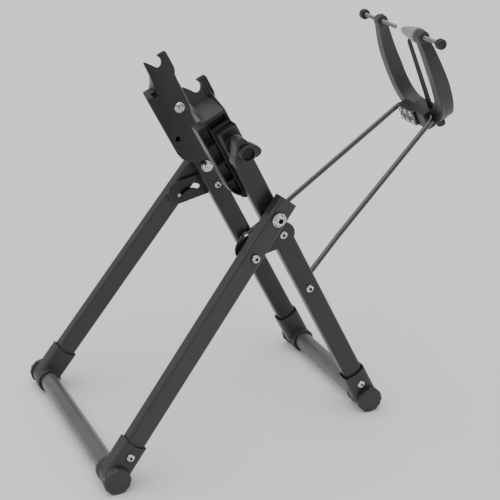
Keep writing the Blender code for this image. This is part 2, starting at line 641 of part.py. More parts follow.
def loft(bm, org, ea, eb, ec, levels):
    """Closed body through rings of equal point counts; a ring of one point is a pole."""
    rings = [[bm.verts.new(org + ea * x + eb * z + ec * h) for x, z in pts] for pts, h in levels]
    for a, b in zip(rings[:-1], rings[1:]):
        m = max(len(a), len(b))
        for i in range(m):
            j = (i + 1) % m
            if len(a) == 1:
                bm.faces.new((a[0], b[i], b[j]))
            elif len(b) == 1:
                bm.faces.new((a[i], b[0], a[j]))
            else:
                bm.faces.new((a[i], b[i], b[j], a[j]))


def circle_pts(r, n=60):
    return [(r * math.cos(2 * math.pi * i / n), r * math.sin(2 * math.pi * i / n)) for i in range(n)]


XV, ZV = Vector((1, 0, 0)), Vector((0, 0, 1))
KN = [([(0, 0)], 27.6), (circle_pts(4.08), 27.6), (circle_pts(4.08), 3.0), (circle_pts(7.4), 3.0), (circle_pts(7.4), 13.0),
      (lobed(17.2, 10.4, scale=0.90), 13.0), (lobed(17.2, 10.4), 14.4), (lobed(17.2, 10.4), 25.0),
      (lobed(17.2, 10.4, scale=0.94), 27.4), (lobed(17.2, 10.4, scale=0.89), 28.2), (circle_pts(8.8), 28.2),
      (circle_pts(8.6), 33.0), (circle_pts(6.4), 33.0), (circle_pts(6.2), 30.6), ([(0, 0)], 30.4)]
bm = bmesh.new()
loft(bm, HEADB - YV * OUT_Y, XV, ZV, -YV, KN)
to_object("right_clamp_knob", bm, PLASTIC)

# ---------------------------------------------------------------- gauge rod
EYE_Y = INNER_Y - 3.2
half_path = []
pts = []
for sgn in (1,):
    for sl, y in ((5.0, 70.0), (15.0, 69.0), (62.0, 59.5), (ROD_LEN, 33.5)):
        pts.append(RODP + RD * sl + YV * y)
    pts.append(RODP + RD * ROD_LEN - YV * 33.5)
    for sl, y in ((62.0, -59.5), (15.0, -69.0), (5.0, -70.0)):
        pts.append(RODP + RD * sl + YV * y)
path = arc_path(pts, 8.0)
bm = bmesh.new()
sweep(bm, path, ROD_R, 12)
ob = to_object("gauge_rod", bm, DARK)
for s in (1, -1):
    boolean(ob, [cylb(6.6, RODP, YV * s, INNER_Y - 6.0, INNER_Y - GAP, 32)], "UNION")
for s in (1, -1):
    boolean(ob, [cylb(2.6, RODP, YV * s, INNER_Y - 16.0, INNER_Y + 5, 24)])

# ---------------------------------------------------------------- gauge head
W0, W1 = 10.6, 27.8


def mirror_y(pts):
    return pts + [(-a, b) for a, b in pts[::-1]]


# U bracket in (y, s), swept along w
OUT_R = [(8.0, -9.0), (26.0, -9.0), (34.0, -7.2), (41.0, -2.4), (46.4, 5.5), (50.2, 15.0), (52.6, 26.0), (53.8, 40.0),
         (53.8, 56.0), (52.4, 72.0), (49.6, 86.0), (46.4, 97.0), (46.0, 103.0), (44.6, 105.6), (41.0, 106.0), (38.2, 104.2)]
IN_R = [(36.8, 97.0), (39.6, 84.0), (41.6, 70.0), (42.6, 56.0), (42.6, 40.0), (41.2, 27.0), (38.4, 17.0), (34.0, 8.8),
        (28.0, 2.6), (20.0, -0.6), (8.0, -1.0)]
prof = OUT_R + IN_R
prof = prof + [(-a, b) for a, b in prof[::-1]]
bm = bmesh.new()
frame_prism(bm, prof, GREF, YV, GT, GN, W0, W1)
ob = to_object("gauge_bracket", bm, PLASTIC)
taper_f = [(W0 - 3, 60.0), (W0 - 3, 120.0), (W0 + 3.4, 120.0), (W0, 60.0)]
taper_r = [(W1 + 3, 40.0), (W1 + 3, 120.0), (W1 - 5.0, 120.0), (W1, 40.0)]
boolean(ob, [prismb(taper_f, GREF, GN, GT, YV, -70, 70), prismb(taper_r, GREF, GN, GT, YV, -70, 70),
             cylb(2.5, ws(19.0, 99.0), YV, -70, 70, 24),
             cylb(1.7, ws(19.2, 0.0, -9.5), GT, -20, 10, 16)])

# clamp block on the rod's cross bar
blk = [(-0.3, -13.6), (-0.3, 4.8), (0.9, 6.0), (9.6, 6.0), (10.2, 5.4), (10.2, -9.4), (27.0, -9.4), (27.8, -10.2),
       (27.8, -12.6), (26.6, -13.8), (12.0, -13.8), (9.8, -15.0), (1.0, -15.0)]
bm = bmesh.new()
frame_prism(bm, blk, GREF, GN, GT, YV, -25.5, 25.5)
ob = to_object("gauge_clamp_block", bm, PLASTIC)
SCREW_AT = [(yy, ss) for yy in (-1.5, 9.0, 19.5) for ss in (-10.0,)]
boolean(ob, [cylb(ROD_R + 0.1, BAR, YV, -40, 40, 16), cylb(1.7, ws(19.2, 0.0, -9.5), GT, -25, 0, 16)]
        + [cylb(1.6, ws(6.2, ss, yy), -GN, -3.0, 12.0, 12) for yy, ss in SCREW_AT]
        + [cylb(1.6, ws(6.2, 1.6, yy), -GN, 4.1, 12.0, 12) for yy in (-1.5, 9.0, 19.5)])
# steel clamp plate and its six screws
bm = bmesh.new()
frame_prism(bm, [(-2.9, -14.2), (-0.6, -14.2), (-0.6, 5.6), (-2.9, 5.6)], GREF, GN, GT, YV, -7.0, 25.0)
ob = to_object("gauge_clamp_plate", bm, STEEL)
boolean(ob, [cylb(1.6, ws(6.2, ss, yy), -GN, 0.0, 15.0, 12) for yy in (-1.5, 9.0, 19.5) for ss in (1.6, -10.0)])
k = 0
for yy in (-1.5, 9.0, 19.5):
    for ss in (1.6, -10.0):
        k += 1
        bm = bmesh.new()
        lathe(bm, [(0, -1.0 if ss < 0 else 4.4), (1.4, -1.0 if ss < 0 else 4.4), (1.4, 9.1), (2.9, 9.1), (2.9, 9.9), (2.2, 10.9),
                   (1.2, 10.9), (1.1, 10.1), (0, 10.1)], ws(6.2, ss, yy), -GN, 12)
        to_object("gauge_clamp_screw_%d" % k, bm, STEEL)
# tilt lock knob under the block
bm = bmesh.new()
lathe(bm, [(0, 14.1), (3.0, 14.1), (3.0, 15.4), (5.2, 15.8), (5.4, 20.6), (4.6, 21.8), (0, 21.8)],
      ws(20.5, 0.0, -19.0), -GT, 20)
to_object("gauge_lock_knob", bm, DARK)
# leaf feeler, held through the bracket's floor
bm = bmesh.new()
frame_prism(bm, [(16.2, -0.7), (22.2, -0.7), (21.6, 84.0), (20.8, 88.4), (17.6, 88.4), (16.8, 84.0)], GREF, GN, GT, YV, -10.1, -8.9)
ob = to_object("radial_feeler_leaf", bm, STEEL)
boolean(ob, [cylb(1.4, ws(19.2, 0.0, -9.5), GT, -12.6, 3.0, 12)], "UNION")

for side, s in SIDES:
    tip = 11.0 if side == "left" else 14.0
    bm = bmesh.new()
    prof = [(0, tip - 1.0), (1.6, tip - 0.6), (2.4, tip + 0.6), (2.4, 80.0), (0, 80.0)]
    lathe(bm, prof, ws(19.0, 99.0), YV * s, 24)
    to_object(side + "_feeler_screw", bm, STEEL)
    bm = bmesh.new()
    lathe(bm, [(2.5, 74.0), (4.4, 74.2), (5.6, 75.4), (5.8, 80.4), (5.0, 82.0), (0, 82.4), (0, 80.3), (2.5, 80.3)],
          ws(19.0, 99.0), YV * s, 24)
    to_object(side + "_feeler_knob", bm, PLASTIC)

# tapered nose on the right feeler screw
bm = bmesh.new()
lathe(bm, [(2.5, 14.4), (2.5, 35.4), (8.2, 35.4), (8.4, 33.6), (4.0, 5.2), (2.6, 3.6), (0, 3.4), (0, 12.4), (2.5, 12.6)],
      ws(19.0, 99.0), -YV, 24)
to_object("right_feeler_nose", bm, SATIN)

# ---------------------------------------------------------------- origins on the joint axes


def set_origin(name, p):
    ob = bpy.data.objects[name]
    q = Vector(((p.x + X_SHIFT) * MM, p.y * MM, p.z * MM))
    ob.data.transform(Matrix.Translation(-q))
    ob.location = q


for side, s in SIDES:
    for nm in ("_leg_tube", "_leg_plug", "_front_elbow", "_front_foot_cap", "_front_elbow_screw", "_lock_pin"):
        set_origin(side + nm, PIVOT + YV * s * LEG_MID_Y)
    set_origin(side + "_brace_plate", BRACE + YV * s * (OUT_Y + BRACE_GAP / 2))
    set_origin(side + "_feeler_screw", ws(19.0, 99.0, s * 53.0))
    set_origin(side + "_feeler_knob", ws(19.0, 99.0, s * 78.0))
set_origin("right_feeler_nose", ws(19.0, 99.0, -20.0))
set_origin("front_cross_tube", PIVOT)
set_origin("right_dropout_head", HEADB - YV * HEAD_IN)
set_origin("right_clamp_stud", HEADB - YV * HEAD_IN)
set_origin("right_clamp_washer", HEADB - YV * OUT_Y)
set_origin("right_clamp_knob", HEADB - YV * (OUT_Y + 20.0))
set_origin("gauge_rod", RODP)
for nm in ["gauge_bracket", "gauge_clamp_block", "gauge_clamp_plate", "gauge_lock_knob", "radial_feeler_leaf"] + \
        ["gauge_clamp_screw_%d" % i for i in range(1, 7)]:
    set_origin(nm, BAR)
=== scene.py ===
import bpy
import bmesh
import math
from mathutils import Vector, Matrix


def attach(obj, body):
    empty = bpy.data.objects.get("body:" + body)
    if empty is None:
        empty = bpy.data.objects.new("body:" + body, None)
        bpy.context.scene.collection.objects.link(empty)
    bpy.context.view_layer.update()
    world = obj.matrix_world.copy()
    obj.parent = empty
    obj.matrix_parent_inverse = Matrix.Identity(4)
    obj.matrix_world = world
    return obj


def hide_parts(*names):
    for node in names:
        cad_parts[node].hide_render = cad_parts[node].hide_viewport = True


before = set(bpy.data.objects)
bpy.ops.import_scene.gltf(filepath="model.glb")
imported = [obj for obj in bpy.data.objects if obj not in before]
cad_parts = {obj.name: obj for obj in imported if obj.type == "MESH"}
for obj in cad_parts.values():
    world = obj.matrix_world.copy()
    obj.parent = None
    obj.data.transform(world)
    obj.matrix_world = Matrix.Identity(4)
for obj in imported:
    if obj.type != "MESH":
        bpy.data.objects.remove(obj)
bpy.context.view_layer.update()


# ------------------------------------------------------------------ dimensions (mm), as in the CAD
MM = 0.001
X_SHIFT = 99.835
TUBE_W, TUBE_T, TUBE_WALL, TUBE_R = 22.2, 14.6, 1.5, 3.2
INNER_Y, FOOT_Z, UP_TOP, TUBE_FOOT = 73.7, 14.0, 380.5, 15.5
BRACE_GAP, GAP = 3.4, 0.3
OUT_Y = INNER_Y + TUBE_T
LEG_IN_Y = OUT_Y + BRACE_GAP
LEG_MID_Y = LEG_IN_Y + TUBE_T / 2
UP_MID_Y = INNER_Y + TUBE_T / 2
LEG_FOOT_X, LEG_SPLAY, LEG_TOP = -313.9, 15.6, 21.0
LEG_FOOT_Y = LEG_MID_Y + LEG_SPLAY
REAR_SCREW, FRONT_SCREW = 23.4, 26.4
FOLD_MAX, BRACE_RATIO = 52.5, 1.4
CROSS_R, CROSS_WALL = 10.5, 1.4
FOOT_CAP_R = 14.1
HEAD_IN, WEB = 50.0, 3.6

_a, _g, _r = math.radians(117.0), math.radians(113.0), math.radians(39.556)
UD = Vector((math.cos(_a), 0, math.sin(_a)))
UN = Vector((math.sin(_a), 0, -math.cos(_a)))
GT = Vector((math.cos(_g), 0, math.sin(_g)))
GN = Vector((math.sin(_g), 0, -math.cos(_g)))
RD = Vector((math.cos(_r), 0, math.sin(_r)))
XV, YV, ZV = Vector((1, 0, 0)), Vector((0, 1, 0)), Vector((0, 0, 1))


def uv(u, v, y=0.0):
    p = UD * u + UN * v
    return Vector((p.x, y, p.z + FOOT_Z))


PIVOT, BRACE, LOCK = uv(274.2, -0.6), uv(245.7, 0.4), uv(253.7, -41.2)
RODP, HEADB = uv(169.9, -0.6), uv(363.5, -1.0)
ROD_LEN, ROD_R = 233.94, 3.0
BAR = RODP + RD * ROD_LEN
GREF = BAR - GN * 6.2
ORG = Vector((0, 0, FOOT_Z))
REAR, FRONT = Vector((0, 0, FOOT_Z)), Vector((LEG_FOOT_X, 0, FOOT_Z))
SIDES = (("left", 1), ("right", -1))


def ws(w, s, y=0.0):
    p = GREF + GN * w + GT * s
    return Vector((p.x, y, p.z))


# ------------------------------------------------------------------ materials
def node_mat(name):
    m = bpy.data.materials.new(name)
    m.use_nodes = True
    nt = m.node_tree
    bsdf = nt.nodes["Principled BSDF"]
    tc = nt.nodes.new("ShaderNodeTexCoord")
    return m, nt, bsdf, tc.outputs["Object"]


def noise(nt, co, scale, detail=3.0, rough=0.5, stretch=None):
    if stretch is not None:
        mp = nt.nodes.new("ShaderNodeMapping")
        mp.inputs["Scale"].default_value = stretch
        nt.links.new(co, mp.inputs["Vector"])
        co = mp.outputs["Vector"]
    n = nt.nodes.new("ShaderNodeTexNoise")
    n.inputs["Scale"].default_value = scale
    n.inputs["Detail"].default_value = detail
    n.inputs["Roughness"].default_value = rough
    nt.links.new(co, n.inputs["Vector"])
    return n.outputs["Fac"]


def ramp(nt, fac, stops):
    r = nt.nodes.new("ShaderNodeValToRGB")
    el = r.color_ramp.elements
    el[0].position, el[0].color = stops[0][0], (*stops[0][1], 1)
    el[1].position, el[1].color = stops[1][0], (*stops[1][1], 1)
    for p, c in stops[2:]:
        e = el.new(p)
        e.color = (*c, 1)
    nt.links.new(fac, r.inputs["Fac"])
    return r.outputs["Color"]


def span(nt, fac, lo, hi, a=0.3, b=0.7):
    m = nt.nodes.new("ShaderNodeMapRange")
    m.inputs["From Min"].default_value = a
    m.inputs["From Max"].default_value = b
    m.inputs["To Min"].default_value = lo
    m.inputs["To Max"].default_value = hi
    nt.links.new(fac, m.inputs["Value"])
    return m.outputs["Result"]


def bump(nt, bsdf, pairs):
    """Chained bumps: (height, strength, distance in metres)."""
    prev = None
    for h, st, dist in pairs:
        b = nt.nodes.new("ShaderNodeBump")
        b.inputs["Strength"].default_value = st
        b.inputs["Distance"].default_value = dist
        nt.links.new(h, b.inputs["Height"])
        if prev is not None:
            nt.links.new(prev, b.inputs["Normal"])
        prev = b.outputs["Normal"]
    nt.links.new(prev, bsdf.inputs["Normal"])


def grey(v, t=0.0):
    return (v, v * (1 + t * 0.5), v * (1 + t))


def powder_coat(name, lo, hi, r0, r1):
    """Satin powder coat: fine orange peel, faint cloudiness, a few dust nibs."""
    m, nt, b, co = node_mat(name)
    cloud = noise(nt, co, 28.0, 4.0, 0.6)
    nt.links.new(ramp(nt, cloud, [(0.3, grey(lo, 0.02)), (0.7, grey(hi, 0.03))]), b.inputs["Base Color"])
    nt.links.new(span(nt, noise(nt, co, 60.0, 5.0, 0.65), r0, r1), b.inputs["Roughness"])
    peel = noise(nt, co, 850.0, 2.0, 0.5)
    fine = noise(nt, co, 3200.0, 2.0, 0.5)
    bump(nt, b, [(peel, 0.16, 0.0002), (fine, 0.07, 0.0001)])
    b.inputs["Specular IOR Level"].default_value = 0.5
    return m


def moulded(name, lo, hi, r0, r1, grain=0.22):
    """Moulded plastic with a spark-eroded grain."""
    m, nt, b, co = node_mat(name)
    cloud = noise(nt, co, 40.0, 4.0, 0.6)
    nt.links.new(ramp(nt, cloud, [(0.3, grey(lo, 0.01)), (0.7, grey(hi, 0.02))]), b.inputs["Base Color"])
    nt.links.new(span(nt, noise(nt, co, 140.0, 4.0, 0.6), r0, r1), b.inputs["Roughness"])
    g1 = noise(nt, co, 1900.0, 3.0, 0.6)
    g2 = noise(nt, co, 260.0, 2.0, 0.5)
    bump(nt, b, [(g2, 0.06, 0.0003), (g1, grain, 0.00012)])
    return m


def zinc(name, base, r0, r1, low=0.9):
    """Bright zinc plate: slightly cloudy, fine tool marks."""
    m, nt, b, co = node_mat(name)
    b.inputs["Metallic"].default_value = 1.0
    nt.links.new(ramp(nt, noise(nt, co, 520.0, 3.0, 0.6), [(0.40, (base * low, base * low, base * low)), (0.58, (base, base, base * 1.01))]),
                 b.inputs["Base Color"])
    nt.links.new(span(nt, noise(nt, co, 500.0, 4.0, 0.6), r0, r1), b.inputs["Roughness"])
    bump(nt, b, [(noise(nt, co, 900.0, 3.0, 0.6), 0.05, 0.0001)])
    return m


def satin_tube(name):
    """Dark grey satin tube, with faint draw lines along Y."""
    m, nt, b, co = node_mat(name)
    b.inputs["Metallic"].default_value = 0.35
    lines = noise(nt, co, 1.0, 3.0, 0.6, (900.0, 14.0, 900.0))
    cloud = noise(nt, co, 30.0, 4.0, 0.6)
    nt.links.new(ramp(nt, cloud, [(0.3, grey(0.120, 0.0)), (0.7, grey(0.155, 0.0))]), b.inputs["Base Color"])
    nt.links.new(span(nt, lines, 0.20, 0.30), b.inputs["Roughness"])
    bump(nt, b, [(lines, 0.10, 0.0001), (noise(nt, co, 1200.0, 2.0, 0.5), 0.05, 0.0001)])
    return m


M_TUBE = powder_coat("satin_black_powder_coat", 0.015, 0.019, 0.28, 0.38)
# painted light: the legs use the uprights' black powder coat with a lighter base, standing in for the extra light they
# catch
M_LEG_LIT_COPY = powder_coat("satin_black_powder_coat_legs_painted_light", 0.026, 0.032, 0.28, 0.38)
M_PLASTIC = moulded("moulded_black_plastic", 0.017, 0.021, 0.34, 0.46)
M_ELBOW = moulded("moulded_black_nylon", 0.024, 0.031, 0.36, 0.48, 0.26)
M_KNOB = moulded("knob_black_plastic", 0.011, 0.015, 0.28, 0.40, 0.12)
M_GAUGE = moulded("gauge_black_plastic", 0.026, 0.033, 0.32, 0.44, 0.16)
# painted shade: a dark steel given to the faces inside hex sockets and the clamp knob's hub recess, standing in for the
# shade in those hollows
M_SOCKET_PAINTED_SHADE = zinc("socket_painted_shade", 0.045, 0.5, 0.7)
M_NOSE = moulded("nose_light_grey_plastic", 0.24, 0.30, 0.28, 0.40, 0.10)
M_PLUG = moulded("plug_black_plastic", 0.005, 0.008, 0.5, 0.65, 0.2)
M_ZINC = zinc("bright_zinc_plate", 0.84, 0.12, 0.26, 0.38)
M_PLATE = zinc("zinc_plate_dull", 0.15, 0.28, 0.42, 0.5)
M_SPRING = zinc("spring_steel", 0.075, 0.30, 0.42)
M_SCREW = zinc("feeler_screw_steel", 0.26, 0.24, 0.36)
M_SATIN = satin_tube("satin_grey_tube")
M_ROD = powder_coat("gloss_black_enamel", 0.010, 0.014, 0.14, 0.22)
M_ROD.node_tree.nodes["Principled BSDF"].inputs["Coat Weight"].default_value = 1.0
M_ROD.node_tree.nodes["Principled BSDF"].inputs["Coat Roughness"].default_value = 0.08


# ------------------------------------------------------------------ mesh helpers
def bm_to_mesh(name, bm):
    bmesh.ops.remove_doubles(bm, verts=bm.verts, dist=1e-5)
    bmesh.ops.recalc_face_normals(bm, faces=bm.faces)
    for v in bm.verts:
        v.co = Vector(((v.co.x + X_SHIFT) * MM, v.co.y * MM, v.co.z * MM))
    me = bpy.data.meshes.new(name)
    bm.to_mesh(me)
    bm.free()
    return me


def apply_mods(ob):
    bpy.context.view_layer.update()
    dg = bpy.context.evaluated_depsgraph_get()
    me = bpy.data.meshes.new_from_object(ob.evaluated_get(dg))
    old = ob.data
    ob.modifiers.clear()
    ob.data = me
    bpy.data.meshes.remove(old)


# sockets whose inner faces get the painted socket shade: (origin, axis, top, radius)
PAINTED_SHADE_SOCKETS = []


def piece(name, bm, look, body, nodes, bevel=0.0, seg=2, lim=32.0, vox=0.0, relax=4, faces=14000, sharp=50.0):
    me = bm_to_mesh(name, bm)
    ob = bpy.data.objects.new(name, me)
    bpy.context.scene.collection.objects.link(ob)
    if vox:
        md = ob.modifiers.new("vox", "REMESH")
        md.mode = "VOXEL"
        md.voxel_size = vox * MM * 1.0
        md.adaptivity = 0.0
        md = ob.modifiers.new("relax", "SMOOTH")
        md.factor = 0.5
        md.iterations = relax
        apply_mods(ob)
        n = len(ob.data.polygons) * 2
        if n > faces:
            md = ob.modifiers.new("thin", "DECIMATE")
            md.ratio = faces / n
            apply_mods(ob)
        ob.data.shade_smooth()
    elif bevel:
        md = ob.modifiers.new("edge", "BEVEL")
        md.width = bevel * MM
        md.segments = seg
        md.limit_method = "ANGLE"
        md.angle_limit = math.radians(lim)
        md.use_clamp_overlap = True
        apply_mods(ob)
    if not vox:
        ob.data.shade_smooth()
        ob.data.set_sharp_from_angle(angle=math.radians(sharp))
        md = ob.modifiers.new("normals", "WEIGHTED_NORMAL")
        md.keep_sharp = True
    ob.data.name = name
    ob.data.materials.clear()
    ob.data.materials.append(look)
    # faces inside the listed sockets take the dark painted-shade material
    if PAINTED_SHADE_SOCKETS:
        ob.data.materials.append(M_SOCKET_PAINTED_SHADE)
        for f in ob.data.polygons:
            c = Vector((f.center.x / MM - X_SHIFT, f.center.y / MM, f.center.z / MM))
            for org, ax, top, rad in PAINTED_SHADE_SOCKETS:
                h = (c - org).dot(ax)
                if h < top - 0.12 and h > top - 4.0 and ((c - org) - ax * h).length < rad:
                    f.material_index = 1
        PAINTED_SHADE_SOCKETS.clear()
    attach(ob, body)
    if nodes:
        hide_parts(*nodes)
    return ob


def cad_mesh(node):
    """A copy of a CAD node's solid as a bmesh in mm."""
    bm = bmesh.new()
    bm.from_mesh(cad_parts[node].data)
    for v in bm.verts:
        v.co = Vector((v.co.x / MM - X_SHIFT, v.co.y / MM, v.co.z / MM))
    bmesh.ops.remove_doubles(bm, verts=bm.verts, dist=1e-3)
    return bm


def quad_strip(bm, a, b):
    n = len(a)
    for i in range(n):
        j = (i + 1) % n
        bm.faces.new((a[i], a[j], b[j], b[i]))


def loft(bm, org, ea, eb, ec, levels):
    """Body through rings of equal point counts; one-point rings are poles;
    open ends that aren't poles are joined to each other."""
    rings = [[bm.verts.new(org + ea * x + eb * z + ec * h) for x, z in pts] for pts, h in levels]
    pairs = list(zip(rings[:-1], rings[1:]))
    if len(rings[0]) > 1 and len(rings[-1]) > 1:
        pairs.append((rings[-1], rings[0]))
    for a, b in pairs:
        m = max(len(a), len(b))
        if len(a) == 1 and len(b) == 1:
            continue
        for i in range(m):
            j = (i + 1) % m
            if len(a) == 1:
                bm.faces.new((a[0], b[i], b[j]))
            elif len(b) == 1:
                bm.faces.new((a[i], b[0], a[j]))
            else:
                bm.faces.new((a[i], b[i], b[j], a[j]))


def circ(r, n=48, k=1.0):
    if r < 1e-6:
        return [(0, 0)]
    return [(r * math.cos(2 * math.pi * i / n), r * math.sin(2 * math.pi * i / n)) for i in range(n)]


def hexa(r, n=48, turn=0.0):
    """Hexagon of circumradius r, sampled at n points."""
    out = []
    for i in range(n):
        a = 360.0 * i / n
        k = math.cos(math.radians(30)) / math.cos(math.radians((a % 60) - 30))
        t = math.radians(a + turn)
        out.append((r * k * math.cos(t), r * k * math.sin(t)))
    return out


def axes_for(axis):
    ez = axis.normalized()
    ex = Vector((0, 0, 1)).cross(ez)
    if ex.length < 1e-3:
        ex = Vector((1, 0, 0))
    ex.normalize()
    return ex, ez.cross(ex), ez


def lathe(bm, prof, org, axis, n=48):
    ex, ey, ez = axes_for(axis)
    loft(bm, org, ex, ey, ez, [(circ(r, n), h) for r, h in prof])


def prism(bm, pts, org, ea, eb, ec, c0, c1):
    lo = [bm.verts.new(org + ea * a + eb * b + ec * c0) for a, b in pts]
    hi = [bm.verts.new(org + ea * a + eb * b + ec * c1) for a, b in pts]
    bm.faces.new(lo[::-1])
    bm.faces.new(hi)
    quad_strip(bm, lo, hi)


def prismb(*a):
    b = bmesh.new()
    prism(b, *a)
    return b


def cylb(r, org, axis, h0, h1, n=48):
    b = bmesh.new()
    lathe(b, [(0, h0), (r, h0), (r, h1), (0, h1)], org, axis, n)
    return b


def carve(bm, cutters, op="DIFFERENCE"):
    """Exact booleans on a bmesh in mm; returns a new bmesh in mm."""
    ob = bpy.data.objects.new("tmp", bm_to_mesh("tmp", bm))
    bpy.context.scene.collection.objects.link(ob)
    for c in cutters:
        cut = bpy.data.objects.new("cut", bm_to_mesh("cut", c))
        bpy.context.scene.collection.objects.link(cut)
        md = ob.modifiers.new("b", "BOOLEAN")
        md.operation = op
        md.solver = "EXACT"
        md.object = cut
        apply_mods(ob)
        cm = cut.data
        bpy.data.objects.remove(cut, do_unlink=True)
        bpy.data.meshes.remove(cm)
    out = bmesh.new()
    out.from_mesh(ob.data)
    for v in out.verts:
        v.co = Vector((v.co.x / MM - X_SHIFT, v.co.y / MM, v.co.z / MM))
    me = ob.data
    bpy.data.objects.remove(ob, do_unlink=True)
    bpy.data.meshes.remove(me)
    return out


def round_rect(w, t, r, n=8):
    pts = []
    for cx, cy, a0 in ((w / 2 - r, t / 2 - r, 0), (-w / 2 + r, t / 2 - r, 90),
                       (-w / 2 + r, -t / 2 + r, 180), (w / 2 - r, -t / 2 + r, 270)):
        for i in range(n + 1):
            a = math.radians(a0 + 90.0 * i / n)
            pts.append((cx + r * math.cos(a), cy + r * math.sin(a)))
    return pts


def tube(bm, org, ea, eb, ec, c0, c1):
    """Rectangular tube with broken edges at its upper end."""
    def out(d):
        return round_rect(TUBE_W - 2 * d, TUBE_T - 2 * d, TUBE_R - d)
    inner = round_rect(TUBE_W - 2 * TUBE_WALL, TUBE_T - 2 * TUBE_WALL, TUBE_R - TUBE_WALL)
    inner2 = round_rect(TUBE_W - 2 * TUBE_WALL + 0.4, TUBE_T - 2 * TUBE_WALL + 0.4, TUBE_R - TUBE_WALL + 0.2)
    loft(bm, org, ea, eb, ec, [(out(0), c0), (out(0), (c0 + c1) / 2), (out(0), c1 - 0.5), (out(0.15), c1 - 0.15), (out(0.5), c1),
                               (inner2, c1), (inner, c1 - 0.2), (inner, c1 - 12.0), (inner, c0)])


def sweep(bm, path, r, n=28):
    rings = []
    t0 = (path[1] - path[0]).normalized()
    ex = (ZV - t0 * ZV.dot(t0)).normalized()
    for i, p in enumerate(path):
        if i == 0:
            t = (path[1] - path[0]).normalized()
        elif i == len(path) - 1:
            t = (path[-1] - path[-2]).normalized()
        else:
            t = ((path[i + 1] - p).normalized() + (p - path[i - 1]).normalized()).normalized()
        ex = (ex - t * ex.dot(t)).normalized()
        ey = t.cross(ex)
        rings.append([bm.verts.new(p + (ex * math.cos(2 * math.pi * k / n) + ey * math.sin(2 * math.pi * k / n)) * r)
                      for k in range(n)])
    for a, b in zip(rings[:-1], rings[1:]):
        quad_strip(bm, a, b)
    bm.faces.new(rings[0][::-1])
    bm.faces.new(rings[-1])


def arc_path(points, radius, steps=12):
    out = [points[0]]
    for a, b, c in zip(points[:-2], points[1:-1], points[2:]):
        d1, d2 = (a - b).normalized(), (c - b).normalized()
        half = math.acos(max(-1, min(1, d1.dot(d2)))) / 2
        cut = min(radius / math.tan(half), (a - b).length * 0.45, (c - b).length * 0.45)
        rr = cut * math.tan(half)
        cen = b + (d1 + d2).normalized() * (rr / math.sin(half))
        v0, v1 = b + d1 * cut - cen, b + d2 * cut - cen
        ang = v0.angle(v1)
        m = steps if ang > 0.6 else 4
        for k in range(m + 1):
            f = k / m
            out.append(cen + v0 * (math.sin((1 - f) * ang) / math.sin(ang)) + v1 * (math.sin(f * ang) / math.sin(ang)))
    out.append(points[-1])
    return out


# ------------------------------------------------------------------ fasteners
def socket_screw(bm, org, axis, seat, r, h, key, deep, shank, end, flange=0.0):
    """Button head with a hexagon socket; the shank runs from end to seat."""
    ex, ey, ez = axes_for(axis)
    n = 48
    lv = [(circ(0), end), (circ(shank - 0.4, n), end), (circ(shank, n), end + 0.4), (circ(shank, n), seat)]
    if flange:
        lv += [(circ(r + flange, n), seat), (circ(r + flange, n), seat + 0.9), (circ(r + flange - 0.3, n), seat + 1.2), (circ(r, n), seat + 1.3)]
        base = seat + 1.3
    else:
        lv += [(circ(r - 0.15, n), seat), (circ(r, n), seat + 0.15)]
        base = seat + 0.15
    top = seat + h
    for k in range(0, 6):
        t = k / 5.0
        rr = key * 1.25 + (r - key * 1.25) * math.cos(t * math.pi / 2) ** 0.8
        lv.append((circ(rr, n), base + (top - base) * (0.18 + 0.82 * math.sin(t * math.pi / 2))))
    lv += [(hexa(key * 1.06, n), top - 0.05), (hexa(key, n), top - 0.3), (hexa(key, n), top - deep), (circ(0), top - deep - 0.5)]
    loft(bm, org, ex, ey, ez, lv)
    # mark this socket's hollow for the painted shade
    PAINTED_SHADE_SOCKETS.append((org.copy(), ez.copy(), top, key * 1.03))


def nut(bm, org, axis, y0, y1, r, bore):
    """Hexagon nut, its outer face at y1 with the usual turned chamfer."""
    ex, ey, ez = axes_for(axis)
    n = 48
    s = 1 if y1 > y0 else -1
    ch = 0.55
    lv = [(circ(bore, n), y0), (circ(r * 0.90, n), y0), (hexa(r, n), y0 + s * 0.3), (hexa(r, n), y1 - s * ch), (circ(r * 0.84, n), y1),
          (circ(bore + 0.5, n), y1), (circ(bore, n), y1 - s * 0.5)]
    if s < 0:
        lv = lv[::-1]
    loft(bm, org, ex, ey, ez, lv)


def threaded(bm, org, axis, h0, h1, r, pitch=1.0, depth=0.28, n=20, tip="flat"):
    prof = [(0, h0), (r - 0.8, h0), (r - depth, h0 + 0.6)]
    h = h0 + 0.6
    while h + pitch < h1:
        prof += [(r - depth, h + pitch * 0.12), (r, h + pitch * 0.42), (r, h + pitch * 0.58), (r - depth, h + pitch * 0.88)]
        h += pitch
    prof += [(r - depth, h1), (0, h1)]
    lathe(bm, prof, org, axis, n)


# ------------------------------------------------------------------ tubes
for side, s in SIDES:
    bm = bmesh.new()
    o = Vector((0, s * UP_MID_Y, FOOT_Z))
    tube(bm, o, UN, YV, UD, TUBE_FOOT, UP_TOP)
    piece("upright_" + side, bm, M_TUBE, "frame", [side + "_upright_tube"], sharp=40)
    bm = bmesh.new()
    prism(bm, round_rect(TUBE_W - 2 * TUBE_WALL - 0.4, TUBE_T - 2 * TUBE_WALL - 0.4, 1.3), o, UN, YV, UD, UP_TOP - 6, UP_TOP - 1.8)
    piece("upright_plug_" + side, bm, M_PLUG, "frame", [side + "_upright_plug"], bevel=0.7)

